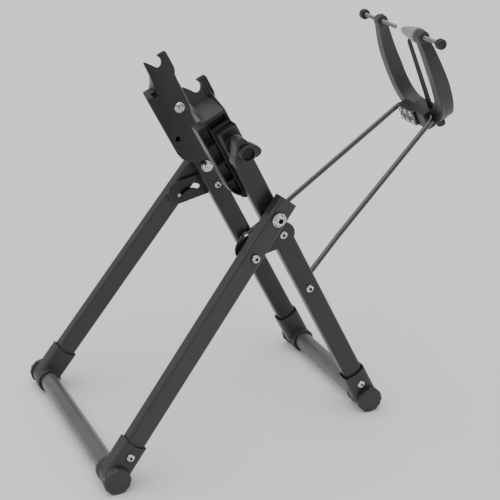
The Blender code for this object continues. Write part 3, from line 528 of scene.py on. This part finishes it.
LEG = {}
for side, s in SIDES:
    top = Vector((PIVOT.x, s * LEG_MID_Y, PIVOT.z))
    bot = Vector((LEG_FOOT_X, s * LEG_FOOT_Y, FOOT_Z))
    al = (top - bot).normalized()
    ac = Vector((al.z, 0, -al.x)).normalized()
    th = al.cross(ac).normalized()
    if th.y < 0:
        th = -th
    L = (top - bot).length
    LEG[side] = (bot, al, ac, th, L)
    bm = bmesh.new()
    tube(bm, bot, ac, th, al, TUBE_FOOT, L + LEG_TOP)
    piece("leg_" + side, bm, M_LEG_LIT_COPY, "legs", [side + "_leg_tube"], sharp=40)
    bm = bmesh.new()
    prism(bm, round_rect(TUBE_W - 2 * TUBE_WALL - 0.4, TUBE_T - 2 * TUBE_WALL - 0.4, 1.3), bot, ac, th, al, L + LEG_TOP - 6, L + LEG_TOP - 0.9)
    piece("leg_plug_" + side, bm, M_PLUG, "legs", [side + "_leg_plug"], bevel=0.7)

for nm, org, half, body in (("rear", REAR, UP_MID_Y + 4.4, "frame"), ("front", FRONT, LEG_FOOT_Y + 4.4, "legs")):
    bm = bmesh.new()
    lathe(bm, [(CROSS_R - CROSS_WALL, -half), (CROSS_R, -half), (CROSS_R, 0), (CROSS_R, half), (CROSS_R - CROSS_WALL, half)], org, YV, 72)
    piece(nm + "_cross_bar", bm, M_SATIN, body, [nm + "_cross_tube"], sharp=40)


# ------------------------------------------------------------------ elbows and foot caps
def elbow(side, s, which, foot, al, ac, th, y_mid, body):
    bm = cad_mesh("%s_%s_elbow" % (side, which))
    # grip ribs round the barrel's inner end
    for k in range(24):
        a = math.radians(15.0 * k + 7.5)
        if math.sin(a) < -0.97:
            continue
        er = Vector((math.cos(a), 0, math.sin(a)))
        et = Vector((-math.sin(a), 0, math.cos(a)))
        c = Vector((foot.x, 0, foot.z)) + er * 13.0
        prism(bm, [(-0.7, -0.8), (0.7, -0.8), (0.5, 0.75), (-0.5, 0.75)], c, et, er, YV * s, y_mid - 15.0, y_mid - 7.0)
    # shallower mouth on the collar's wide faces, and a boss under the screw
    arc = [(9.6 - 1.2 * k, 37.7 + 1.9 * ((9.6 - 1.2 * k) / 9.6) ** 2) for k in range(17)]
    for g in (1, -1):
        prism(bm, [(-9.6, 33.0), (9.6, 33.0)] + arc, Vector((foot.x, s * y_mid, foot.z)), ac, al, th * g, 7.75, 9.85)
    at = REAR_SCREW if which == "rear" else FRONT_SCREW
    base = Vector((foot.x, s * y_mid, foot.z)) + Vector((al.x, al.y, al.z)) * at
    lathe(bm, [(0, 8.0), (6.6, 8.0), (6.3, 10.35), (0, 10.35)], base, th * (1 if s > 0 else -1), 40)
    piece("elbow_%s_%s" % (side, which), bm, M_ELBOW, body, ["%s_%s_elbow" % (side, which)], vox=0.42, relax=3,
          faces=30000)


def scallop(r0, amp, lobes, flat, n_per=12):
    pts = []
    n = lobes * n_per
    for i in range(n):
        a = 2 * math.pi * i / n - math.pi / 2
        ph = lobes * (a + math.pi / 2)
        r = r0 + amp * (2 * abs(math.cos(ph / 2)) ** 0.6 - 1)
        x, z = r * math.cos(a), r * math.sin(a)
        if z < -flat:
            z = -flat
        pts.append((x, z))
    return pts


def foot_cap(side, s, which, foot, y_mid, body):
    y0, y1 = y_mid + 10.0 + GAP, y_mid + 17.0
    lv = [(scallop(FOOT_CAP_R + 0.0, 0.5, 12, FOOT_Z), y0)]
    lv.append((scallop(FOOT_CAP_R + 0.05, 0.5, 12, FOOT_Z), y0 + 0.3))
    lv.append((scallop(FOOT_CAP_R + 0.05, 0.5, 12, FOOT_Z), y1 - 2.2))
    for k in range(1, 6):
        t = math.radians(18 * k)
        d = 1.9 * (1 - math.cos(t))
        lv.append((scallop(FOOT_CAP_R - d, 0.5 * (1 - 0.12 * k), 12, FOOT_Z - d), y1 - 2.2 + 2.2 * math.sin(t)))
    lv.append((circ(10.4, 144), y1))
    lv.append((circ(10.1, 144), y1 - 0.35))
    lv.append((circ(9.7, 144), y1 - 0.45))
    lv.append((circ(0), y1 - 0.45))
    # turn the circles so that all rings start at the bottom
    fixed = []
    for pts, h in lv:
        if len(pts) == 144 and abs(pts[0][0] - max(p[0] for p in pts)) < 1e-6 and abs(pts[0][1]) < 1e-6:
            r = pts[0][0]
            pts = [(r * math.cos(2 * math.pi * i / 144 - math.pi / 2), r * math.sin(2 * math.pi * i / 144 - math.pi / 2)) for i in range(144)]
        fixed.append((pts, h))
    bm = bmesh.new()
    loft(bm, Vector((foot.x, 0, foot.z)), XV, ZV, YV * s, [(circ(0), y0)] + fixed)
    piece("foot_%s_%s" % (side, which), bm, M_ELBOW, body, ["%s_%s_foot_cap" % (side, which)], sharp=45)


for side, s in SIDES:
    bot, al, ac, th, L = LEG[side]
    elbow(side, s, "rear", REAR, UD, UN, YV, UP_MID_Y, "frame")
    elbow(side, s, "front", FRONT, al, ac, th, LEG_FOOT_Y, "legs")
    foot_cap(side, s, "rear", REAR, UP_MID_Y, "frame")
    foot_cap(side, s, "front", FRONT, LEG_FOOT_Y, "legs")
    for nm, org, ym, body in (("rear", uv(REAR_SCREW, 0), UP_MID_Y, "frame"),
                              ("front", Vector((FRONT.x, 0, FRONT.z)) + Vector((al.x, 0, al.z)) * FRONT_SCREW, LEG_FOOT_Y, "legs")):
        y0 = ym + 10.1 if nm == "rear" else ym + 10.0 - FRONT_SCREW * math.tan(math.asin(abs(al.y))) + 0.5
        bm = bmesh.new()
        socket_screw(bm, org, YV * s, y0 + 0.1, 4.3, 2.5, 1.6, 1.6, 2.0, y0 - 6.0)
        piece("elbow_screw_%s_%s" % (side, nm), bm, M_ZINC, body, ["%s_%s_elbow_screw" % (side, nm)], sharp=40)


# ------------------------------------------------------------------ braces
def turn(p, deg):
    a = math.radians(deg)
    return (math.cos(a) * p[0] + math.sin(a) * p[1], -math.sin(a) * p[0] + math.cos(a) * p[1])


def stadium(p0, p1, r, n=24):
    a = math.atan2(p1[1] - p0[1], p1[0] - p0[0])
    out = []
    for c, b in ((p1, a - math.pi / 2), (p0, a + math.pi / 2)):
        for i in range(n + 1):
            t = b + math.pi * i / n
            out.append((c[0] + r * math.cos(t), c[1] + r * math.sin(t)))
    return out


SLOT = []
for i in range(17):
    f = FOLD_MAX * i / 16
    l = turn((253.7 - 274.2, -41.2 + 0.6), f)
    q = turn((274.2 + l[0] - 245.7, -0.6 + l[1] - 0.4), -BRACE_RATIO * f)
    SLOT.append((245.7 + q[0], 0.4 + q[1]))


def thick_path(pts, r, n=12):
    left, right = [], []
    for i, p in enumerate(pts):
        a, b = pts[max(i - 1, 0)], pts[min(i + 1, len(pts) - 1)]
        d = (b[0] - a[0], b[1] - a[1])
        m = math.hypot(*d)
        left.append((p[0] - d[1] / m * r, p[1] + d[0] / m * r))
        right.append((p[0] + d[1] / m * r, p[1] - d[0] / m * r))

    def end(c, frm):
        a0 = math.atan2(frm[1] - c[1], frm[0] - c[0])
        return [(c[0] + r * math.cos(a0 - math.pi * k / n), c[1] + r * math.sin(a0 - math.pi * k / n)) for k in range(1, n)]
    return left + end(pts[-1], left[-1]) + right[::-1] + end(pts[0], right[0])


for side, s in SIDES:
    bm = prismb(stadium((246.2, 0.4), (257.0, -40.0), 13.4), ORG, UD, UN, YV * s, OUT_Y + GAP, LEG_IN_Y - GAP)
    bm = carve(bm, [prismb(thick_path(SLOT, 2.9), ORG, UD, UN, YV * s, OUT_Y - 2, LEG_IN_Y + 2)])
    piece("brace_" + side, bm, M_TUBE, side + "_brace", [side + "_brace_plate"], bevel=0.4)

    # pivots
    y_out = LEG_IN_Y + TUBE_T + 1.4
    bm = bmesh.new()
    socket_screw(bm, PIVOT, YV * s, y_out, 6.2, 4.4, 2.9, 2.4, 4.0, INNER_Y - 6.6, flange=1.3)
    piece("pivot_bolt_" + side, bm, M_ZINC, "frame", [side + "_pivot_bolt"], sharp=40)
    bm = bmesh.new()
    lathe(bm, [(4.1, OUT_Y + GAP), (7.3, OUT_Y + GAP), (7.3, LEG_IN_Y - 0.8), (4.1, LEG_IN_Y - 0.8)], PIVOT, YV * s, 48)
    piece("pivot_spacer_" + side, bm, M_ZINC, "frame", [side + "_pivot_washer"], bevel=0.3)
    bm = bmesh.new()
    ex, ey, ez = axes_for(YV * s)
    a, b = INNER_Y - GAP, INNER_Y - 6.3
    loft(bm, PIVOT, ex, ey, ez, [(circ(4.05), a), (circ(6.5), a), (circ(6.7), a - 0.3), (circ(6.7), a - 1.4), (circ(6.4), a - 1.7), (circ(6.3), b + 2.6),
                                 (circ(6.0), b + 1.4), (circ(5.4), b + 0.6), (circ(4.6), b + 0.1), (circ(4.0), b), (hexa(3.5), b), (hexa(3.4), b + 0.3),
                                 (hexa(3.4), b + 1.9), (circ(3.0), b + 2.1), (circ(3.0), b + 5.0), (circ(4.05), b + 5.2)])
    PAINTED_SHADE_SOCKETS.append((PIVOT.copy(), -YV * s, -b, 3.6))
    piece("pivot_nut_" + side, bm, M_ZINC, "frame", [side + "_pivot_nut"], sharp=35)
    # brace screw: low head outside, dome inside
    bm = bmesh.new()
    ex, ey, ez = axes_for(YV * s)
    loft(bm, BRACE, ex, ey, ez, [(circ(0), INNER_Y - 1.5), (hexa(1.9), INNER_Y - 1.55), (hexa(1.95), INNER_Y - 2.5), (circ(2.2), INNER_Y - 2.62), (circ(2.9), INNER_Y - 2.3), (circ(3.7), INNER_Y - 1.6),
                                 (circ(4.1), INNER_Y - 0.5), (circ(4.1), INNER_Y - 0.3), (circ(2.5), INNER_Y - 0.3),
                                 (circ(2.5), LEG_IN_Y - 0.2), (circ(4.0), LEG_IN_Y - 0.2), (circ(4.05), LEG_IN_Y + 0.2), (circ(3.6), LEG_IN_Y + 0.75),
                                 (circ(2.6), LEG_IN_Y + 0.95), (hexa(1.9), LEG_IN_Y + 0.95), (hexa(1.85), LEG_IN_Y - 0.2), (circ(0), LEG_IN_Y - 0.25)])
    PAINTED_SHADE_SOCKETS.append((BRACE.copy(), YV * s, LEG_IN_Y + 0.95, 1.95))
    PAINTED_SHADE_SOCKETS.append((BRACE.copy(), -YV * s, -(INNER_Y - 2.6), 2.0))
    piece("brace_screw_" + side, bm, M_ZINC, "frame", [side + "_brace_screw"], sharp=40)
    # lock pin on the leg
    bot, al, ac, th, L = LEG[side]
    y1 = LEG_IN_Y + TUBE_T + 3.2
    bm = bmesh.new()
    socket_screw(bm, LOCK, YV * s, y1, 4.6, 3.0, 1.9, 1.8, 2.5, OUT_Y + 0.5)
    piece("lock_pin_" + side, bm, M_ZINC, "legs", [side + "_lock_pin"], sharp=40)
    # rod pivot screw
    bm = bmesh.new()
    socket_screw(bm, RODP, YV * s, OUT_Y + 0.1, 4.4, 2.8, 1.8, 1.6, 2.5, INNER_Y - 6.5)
    lathe(bm, [(0, INNER_Y - 8.8), (2.0, INNER_Y - 8.75), (3.3, INNER_Y - 8.4), (4.1, INNER_Y - 7.4), (4.2, INNER_Y - 6.3), (0, INNER_Y - 6.3)], RODP, YV * s, 40)
    piece("rod_pivot_" + side, bm, M_ZINC, "frame", [side + "_rod_pivot_screw"], sharp=40)


# ------------------------------------------------------------------ axle-seat heads
for side, s in SIDES:
    bm = cad_mesh(side + "_dropout_head")
    # stiffening ribs on the outer side of the tall prong
    for v0, v1, u0, u1 in ((6.2, 7.4, 404.0, 425.2), (9.7, 10.9, 404.0, 426.0), (13.2, 14.4, 406.0, 425.0)):
        prism(bm, [(u0, v0), (u0, v1), (u1, v1), (u1, v0)], ORG, UD, UN, YV * s, HEAD_IN + 3.0, HEAD_IN + WEB + 1.6)
    if side == "left":
        # the flange's inner face lies level with the head's inner face, with a notch at its top corner
        fill = bmesh.new()
        inner = [(391.2, -14.6), (391.2, -28.4), (318.8, -27.8), (310.2, -26.0), (303.6, -21.6), (299.6, -14.6)]
        outer = [(391.2, -14.6), (391.2, -24.0), (318.8, -23.2), (310.6, -21.4), (304.9, -17.8), (301.6, -14.6)]
        rings = [[fill.verts.new(ORG + UD * u + UN * v + YV * (s * h)) for u, v in poly]
                 for poly, h in ((inner, HEAD_IN + 0.05), (inner, HEAD_IN + 1.0), (outer, INNER_Y - GAP - 1.0), (outer, INNER_Y - GAP - 0.2))]
        for r0, r1 in zip(rings[:-1], rings[1:]):
            for i in range(len(r0)):
                j = (i + 1) % len(r0)
                fill.faces.new((r0[i], r0[j], r1[j], r1[i]))
        fill.faces.new(rings[0])
        fill.faces.new(rings[-1])
        bmesh.ops.recalc_face_normals(fill, faces=fill.faces)
        fill = carve(fill, [cylb(3.0, uv(333.0, -19.2), YV * s, HEAD_IN - 3, HEAD_IN + 12.0, 28),
                            prismb([(u, v) for u, v in ((303.6, -12.0), (303.6, -15.4), (311.0, -19.6), (388.3, -22.4), (388.3, -12.0))], ORG, UD, UN, YV * s, HEAD_IN + 13.2, INNER_Y + 5),
                            prismb([(386.6, -14.0), (386.6, -20.4), (394.0, -20.4), (394.0, -14.0)], ORG, UD, UN, YV * s, HEAD_IN - 3, HEAD_IN + 9.0)])
        me = bpy.data.meshes.new("t")
        fill.to_mesh(me)
        bm.from_mesh(me)
        bpy.data.meshes.remove(me)
    body = "frame" if side == "left" else "right_head"
    piece("axle_seat_" + side, bm, M_PLASTIC, body, [side + "_dropout_head"], vox=0.42, relax=3, faces=44000)

n = 48
DOME = [(circ(0), HEAD_IN - 3.5), (circ(1.6), HEAD_IN - 3.45), (circ(3.4), HEAD_IN - 3.0), (circ(4.9), HEAD_IN - 2.2), (circ(5.9), HEAD_IN - 1.2),
        (circ(6.2), HEAD_IN - 0.5), (circ(6.2), HEAD_IN - 0.1), (circ(4.0), HEAD_IN - 0.1)]
for side, s, end, nodes, body in (("left", 1, OUT_Y + 8.0, ["left_head_bolt"], "frame"), ("right", -1, OUT_Y + 31.0, ["right_clamp_stud"], "right_head")):
    ex, ey, ez = axes_for(YV * s)
    bm = bmesh.new()
    last = OUT_Y + 27.0 if side == "right" else end
    loft(bm, HEADB, ex, ey, ez, DOME + [(circ(4.0), last - 0.6), (circ(3.4), last), (circ(0), last)])
    piece("head_bolt_" + side, bm, M_ZINC, body, nodes, sharp=40)
bm = bmesh.new()
nut(bm, HEADB, YV, OUT_Y + GAP, OUT_Y + 6.6, 6.9, 4.05)
piece("head_nut_left", bm, M_ZINC, "frame", ["left_head_nut"], sharp=35)
bm = bmesh.new()
lathe(bm, [(4.2, OUT_Y + GAP), (9.6, OUT_Y + GAP), (9.6, OUT_Y + 2.4), (4.2, OUT_Y + 2.4)], HEADB, -YV, 64)
piece("clamp_washer_right", bm, M_PLASTIC, "right_head", ["right_clamp_washer"], bevel=0.35)


def lobed(r_lobe, r_waist, n=120, inset=0.0):
    pts = []
    for i in range(n):
        a = 2 * math.pi * i / n
        c = (1 + math.cos(3 * (a - math.radians(117)))) / 2
        r = r_waist + (r_lobe - r_waist) * (c ** 1.7) - inset
        pts.append((r * math.cos(a), r * math.sin(a)))
    return pts


C = 120
lv = [(circ(0), 27.6), (circ(4.08, C), 27.6), (circ(4.08, C), 3.0), (circ(7.0, C), 3.0), (circ(7.4, C), 3.4), (circ(7.4, C), 12.9),
      (lobed(17.2, 10.4, inset=1.5), 13.0), (lobed(17.2, 10.4, inset=0.5), 13.5), (lobed(17.2, 10.4), 14.6), (lobed(17.2, 10.4), 20.0),
      (lobed(17.2, 10.4), 25.0)]
for k in range(1, 6):
    t = math.radians(18 * k)
    lv.append((lobed(17.2, 10.4, inset=1.5 * (1 - math.cos(t))), 25.0 + 3.2 * math.sin(t)))
lv += [(circ(8.8, C), 28.3), (circ(8.7, C), 31.8), (circ(8.4, C), 32.6), (circ(7.8, C), 33.0), (circ(6.6, C), 33.0), (circ(6.3, C), 32.7),
       (circ(6.2, C), 30.6), (circ(0), 30.4)]
bm = bmesh.new()
loft(bm, HEADB - YV * OUT_Y, XV, ZV, -YV, lv)
# the knob's hub recess also takes the painted socket shade
PAINTED_SHADE_SOCKETS.append((HEADB - YV * OUT_Y, -YV, 32.75, 6.4))
piece("clamp_knob_right", bm, M_KNOB, "clamp_knob", ["right_clamp_knob"], sharp=55)

# ------------------------------------------------------------------ gauge rod
pts = []
for sl, y in ((5.0, 70.0), (15.0, 69.0), (62.0, 59.5), (ROD_LEN, 33.5)):
    pts.append(RODP + RD * sl + YV * y)
pts.append(RODP + RD * ROD_LEN - YV * 33.5)
for sl, y in ((62.0, -59.5), (15.0, -69.0), (5.0, -70.0)):
    pts.append(RODP + RD * sl + YV * y)
bm = bmesh.new()
sweep(bm, arc_path(pts, 8.0), ROD_R, 32)
for s in (1, -1):
    ex, ey, ez = axes_for(YV * s)
    a, b = INNER_Y - 6.0, INNER_Y - GAP
    loft(bm, RODP, ex, ey, ez, [(circ(2.65), a), (circ(6.1), a), (circ(6.6), a + 0.5), (circ(6.6), b - 0.5), (circ(6.1), b), (circ(2.65), b)])
piece("gauge_rod_bar", bm, M_ROD, "rod", ["gauge_rod"], sharp=50)

# ------------------------------------------------------------------ gauge head
W0, W1 = 10.6, 27.8
OUT_R = [(8.0, -9.0), (26.0, -9.0), (34.0, -7.2), (41.0, -2.4), (46.4, 5.5), (50.2, 15.0), (52.6, 26.0), (53.8, 40.0),
         (53.8, 56.0), (52.4, 72.0), (49.6, 86.0), (46.4, 97.0), (46.0, 103.0), (44.6, 105.3), (41.0, 105.7), (38.2, 104.0)]
IN_R = [(36.8, 97.0), (39.6, 84.0), (41.6, 70.0), (42.6, 56.0), (42.6, 40.0), (41.2, 27.0), (38.4, 17.0), (34.0, 8.8),
        (28.0, 2.6), (20.0, -0.6), (8.0, -1.0)]


def spline(p, k=5):
    """Catmull-Rom through points."""
    out = []
    for i in range(len(p) - 1):
        p0, p1, p2, p3 = p[max(i - 1, 0)], p[i], p[i + 1], p[min(i + 2, len(p) - 1)]
        for j in range(k):
            t = j / k
            out.append(tuple(0.5 * ((2 * b) + (c - a) * t + (2 * a - 5 * b + 4 * c - d) * t * t + (3 * b - a - 3 * c + d) * t ** 3)
                             for a, b, c, d in zip(p0, p1, p2, p3)))
    out.append(p[-1])
    return out


def inset_poly(pts, d):
    area = sum(a[0] * b[1] - b[0] * a[1] for a, b in zip(pts, pts[1:] + pts[:1]))
    sg = 1 if area > 0 else -1
    out = []
    m = len(pts)
    for i in range(m):
        a, b, c = pts[i - 1], pts[i], pts[(i + 1) % m]
        n1 = (-(b[1] - a[1]), b[0] - a[0])
        n2 = (-(c[1] - b[1]), c[0] - b[0])
        l1, l2 = math.hypot(*n1) or 1, math.hypot(*n2) or 1
        nx, ny = n1[0] / l1 + n2[0] / l2, n1[1] / l1 + n2[1] / l2
        l = math.hypot(nx, ny) or 1
        out.append((b[0] + sg * d * nx / l, b[1] + sg * d * ny / l))
    return out


half = spline(OUT_R[1:13], 4) + OUT_R[13:] + spline(IN_R, 4)
half = [OUT_R[0]] + half
full = half + [(-a, b) for a, b in half[::-1]]
bm = prismb(full, GREF, YV, GT, GN, W0, W1)
# the middle of each arm is set back between a front and a rear flange
core = [prismb([(W0 - 3, 60.0), (W0 - 3, 120.0), (W0 + 3.4, 120.0), (W0, 60.0)], GREF, GN, GT, YV, -70, 70),
        prismb([(W1 + 3, 40.0), (W1 + 3, 120.0), (W1 - 5.0, 120.0), (W1, 40.0)], GREF, GN, GT, YV, -70, 70),
        cylb(2.6, ws(19.0, 99.0), YV, -70, 70, 32)]
room = [cylb(9.4, ws(19.0, 99.0), YV, 28.0, 37.3, 48), cylb(9.4, ws(19.0, 99.0), YV, -37.3, -28.0, 48)]
bm = carve(bm, core + room)
# raised rims near both outer edges of the arms, and a boss round each feeler screw
rim_out = [p for p in full]
big = inset_poly(full, -0.9)
for w0, w1 in ((W0 + 0.2, W0 + 2.8),):
    bm2 = prismb(big, GREF, YV, GT, GN, w0, w1)
    bm2 = carve(bm2, [prismb([(W0 - 3, 60.0), (W0 - 3, 120.0), (W0 + 3.6, 120.0), (W0 + 0.2, 60.0)], GREF, GN, GT, YV, -70, 70),
                      cylb(9.4, ws(19.0, 99.0), YV, 28.0, 37.3, 48), cylb(9.4, ws(19.0, 99.0), YV, -37.3, -28.0, 48)])
    me = bpy.data.meshes.new("t")
    bm2.to_mesh(me)
    bm.from_mesh(me)
    bpy.data.meshes.remove(me)
for s in (1, -1):
    lathe(bm, [(2.7, 37.3), (6.4, 37.3), (6.8, 38.0), (6.8, 46.2), (6.2, 47.6), (2.7, 47.6)], ws(19.0, 99.0), YV * s, 36)
piece("gauge_bracket_u", bm, M_GAUGE, "gauge", ["gauge_bracket"], vox=0.42, relax=3, faces=44000)

bm = cad_mesh("gauge_clamp_block")
piece("gauge_clamp_body", bm, M_PLASTIC, "gauge", ["gauge_clamp_block"], vox=0.4, relax=3, faces=22000)
bm = bmesh.new()
rr = [(a + 9.0, b - 4.3) for a, b in round_rect(32.0, 19.8, 2.0, 6)]
prism(bm, rr, GREF, YV, GT, GN, -2.9, -0.6)
piece("gauge_clamp_plate_steel", bm, M_PLATE, "gauge", ["gauge_clamp_plate"], bevel=0.35)
k = 0
for yy in (-1.5, 9.0, 19.5):
    for ss in (1.6, -10.0):
        k += 1
        bm = bmesh.new()
        socket_screw(bm, ws(6.2, ss, yy), -GN, 9.15, 2.9, 1.75, 1.3, 1.2, 1.4, 5.0)
        # no painted socket shade on the gauge screws
        PAINTED_SHADE_SOCKETS.clear()
        piece("gauge_screw_%d" % k, bm, M_ZINC, "gauge", ["gauge_clamp_screw_%d" % k], sharp=40)
bm = bmesh.new()
ex, ey, ez = axes_for(-GT)


def knurl(r, n=72, amp=0.22):
    return [((r + amp * (1 if (i // 2) % 2 else -1) * 0.5) * math.cos(2 * math.pi * i / n),
             (r + amp * (1 if (i // 2) % 2 else -1) * 0.5) * math.sin(2 * math.pi * i / n)) for i in range(n)]


loft(bm, ws(20.5, 0.0, -19.0), ex, ey, ez, [(circ(0), 14.1), (circ(3.0, 72), 14.1), (circ(3.0, 72), 15.4), (knurl(4.9), 15.7), (knurl(5.2), 16.2),
                                            (knurl(5.2), 20.6), (knurl(4.8), 21.4), (circ(4.2, 72), 21.7), (circ(0), 21.7)])
piece("gauge_tilt_knob", bm, M_KNOB, "gauge", ["gauge_lock_knob"], sharp=50)
bm = bmesh.new()
prism(bm, [(16.2, -0.7), (22.2, -0.7), (21.6, 84.0), (21.2, 86.6), (20.2, 88.2), (19.2, 88.6), (18.2, 88.2), (17.2, 86.6), (16.8, 84.0)], GREF, GN, GT, YV, -10.1, -8.9)
lathe(bm, [(0, -12.5), (1.4, -12.5), (1.4, 3.0), (0, 3.0)], ws(19.2, 0.0, -9.5), GT, 20)
piece("leaf_feeler", bm, M_SPRING, "gauge", ["radial_feeler_leaf"], bevel=0.25)

F = ws(19.0, 99.0)
for side, s in SIDES:
    tip = 11.0 if side == "left" else 14.0
    bm = bmesh.new()
    threaded(bm, F, YV * s, tip - 1.0, 78.0, 2.4)
    piece("feeler_screw_" + side, bm, M_SCREW, side + "_feeler", [side + "_feeler_screw"], sharp=30)
    ex, ey, ez = axes_for(YV * s)
    bm = bmesh.new()
    loft(bm, F, ex, ey, ez, [(circ(2.5, 72), 74.0), (circ(4.4, 72), 74.0), (knurl(5.3), 74.6), (knurl(5.7), 75.3), (knurl(5.7), 80.6), (knurl(5.2), 81.6),
                             (circ(4.5, 72), 82.2), (circ(3.0, 72), 82.4), (circ(0), 82.4)][0:1] +
         [(circ(4.4, 72), 74.0), (knurl(5.3), 74.6), (knurl(5.7), 75.3), (knurl(5.7), 80.6), (knurl(5.2), 81.6), (circ(4.5, 72), 82.2),
          (circ(2.6, 72), 82.4), (circ(2.4, 72), 81.9), (circ(2.5, 72), 81.8)])
    lathe(bm, [(0, 79.0), (2.45, 79.0), (2.45, 81.6), (0, 81.6)], F, YV * s, 36)
    piece("feeler_knob_" + side, bm, M_KNOB, side + "_feeler_grip", [side + "_feeler_knob"], sharp=50)

bm = bmesh.new()
lathe(bm, [(0, 3.4), (1.6, 3.5), (2.5, 4.1), (4.0, 7.0), (5.6, 15.0), (7.2, 24.0), (8.15, 32.4), (8.34, 34.0), (8.1, 35.1), (7.5, 35.4), (2.5, 35.4),
           (2.5, 14.0), (0, 14.0)], F, -YV, 64)
piece("feeler_nose_right", bm, M_NOSE, "right_feeler", ["right_feeler_nose"], sharp=50)

# ------------------------------------------------------------------ stage
fm, nt, b, co = node_mat("pale_floor")
nt.links.new(ramp(nt, noise(nt, co, 3.0, 3.0, 0.5), [(0.3, (0.86, 0.86, 0.86)), (0.7, (0.88, 0.88, 0.88))]), b.inputs["Base Color"])
b.inputs["Roughness"].default_value = 0.9
me = bpy.data.meshes.new("floor")
me.from_pydata([(-8, -8, -0.0002), (8, -8, -0.0002), (8, 8, -0.0002), (-8, 8, -0.0002)], [], [(0, 1, 2, 3)])
floor = bpy.data.objects.new("floor", me)
bpy.context.scene.collection.objects.link(floor)
me.materials.append(fm)

world = bpy.data.worlds.new("studio")
bpy.context.scene.world = world
world.use_nodes = True
bg = world.node_tree.nodes["Background"]
bg.inputs["Color"].default_value = (1, 1, 1, 1)
bg.inputs["Strength"].default_value = 0.52


def sun(name, frm, power, angle):
    li = bpy.data.lights.new(name, "SUN")
    li.energy = power
    li.angle = math.radians(angle)
    ob = bpy.data.objects.new(name, li)
    ob.rotation_euler = (-Vector(frm)).to_track_quat("-Z", "Y").to_euler()
    bpy.context.scene.collection.objects.link(ob)
    return ob


sun("overhead", (-0.15, -0.05, 1.0), 1.9, 85)
sun("left_soft", (-0.9, 0.35, 0.75), 0.35, 60)

# ------------------------------------------------------------------ camera
CT = Vector((-105.5 + X_SHIFT, 0, 180.0)) * MM
CC = Vector((-658.4 + X_SHIFT, -1148.5, 726.1)) * MM
cam = bpy.data.cameras.new("camera")
cam.sensor_width = 36.0
cam.sensor_fit = "HORIZONTAL"
cam.lens = 90.3
cam.clip_start = 0.05
cob = bpy.data.objects.new("camera", cam)
cob.location = CC
q = (CT - CC).to_track_quat("-Z", "Y").to_matrix()
ROLL = 0.3
q = q @ Matrix.Rotation(math.radians(ROLL), 3, "Z")
cob.rotation_euler = q.to_euler()
bpy.context.scene.collection.objects.link(cob)
bpy.context.scene.camera = cob
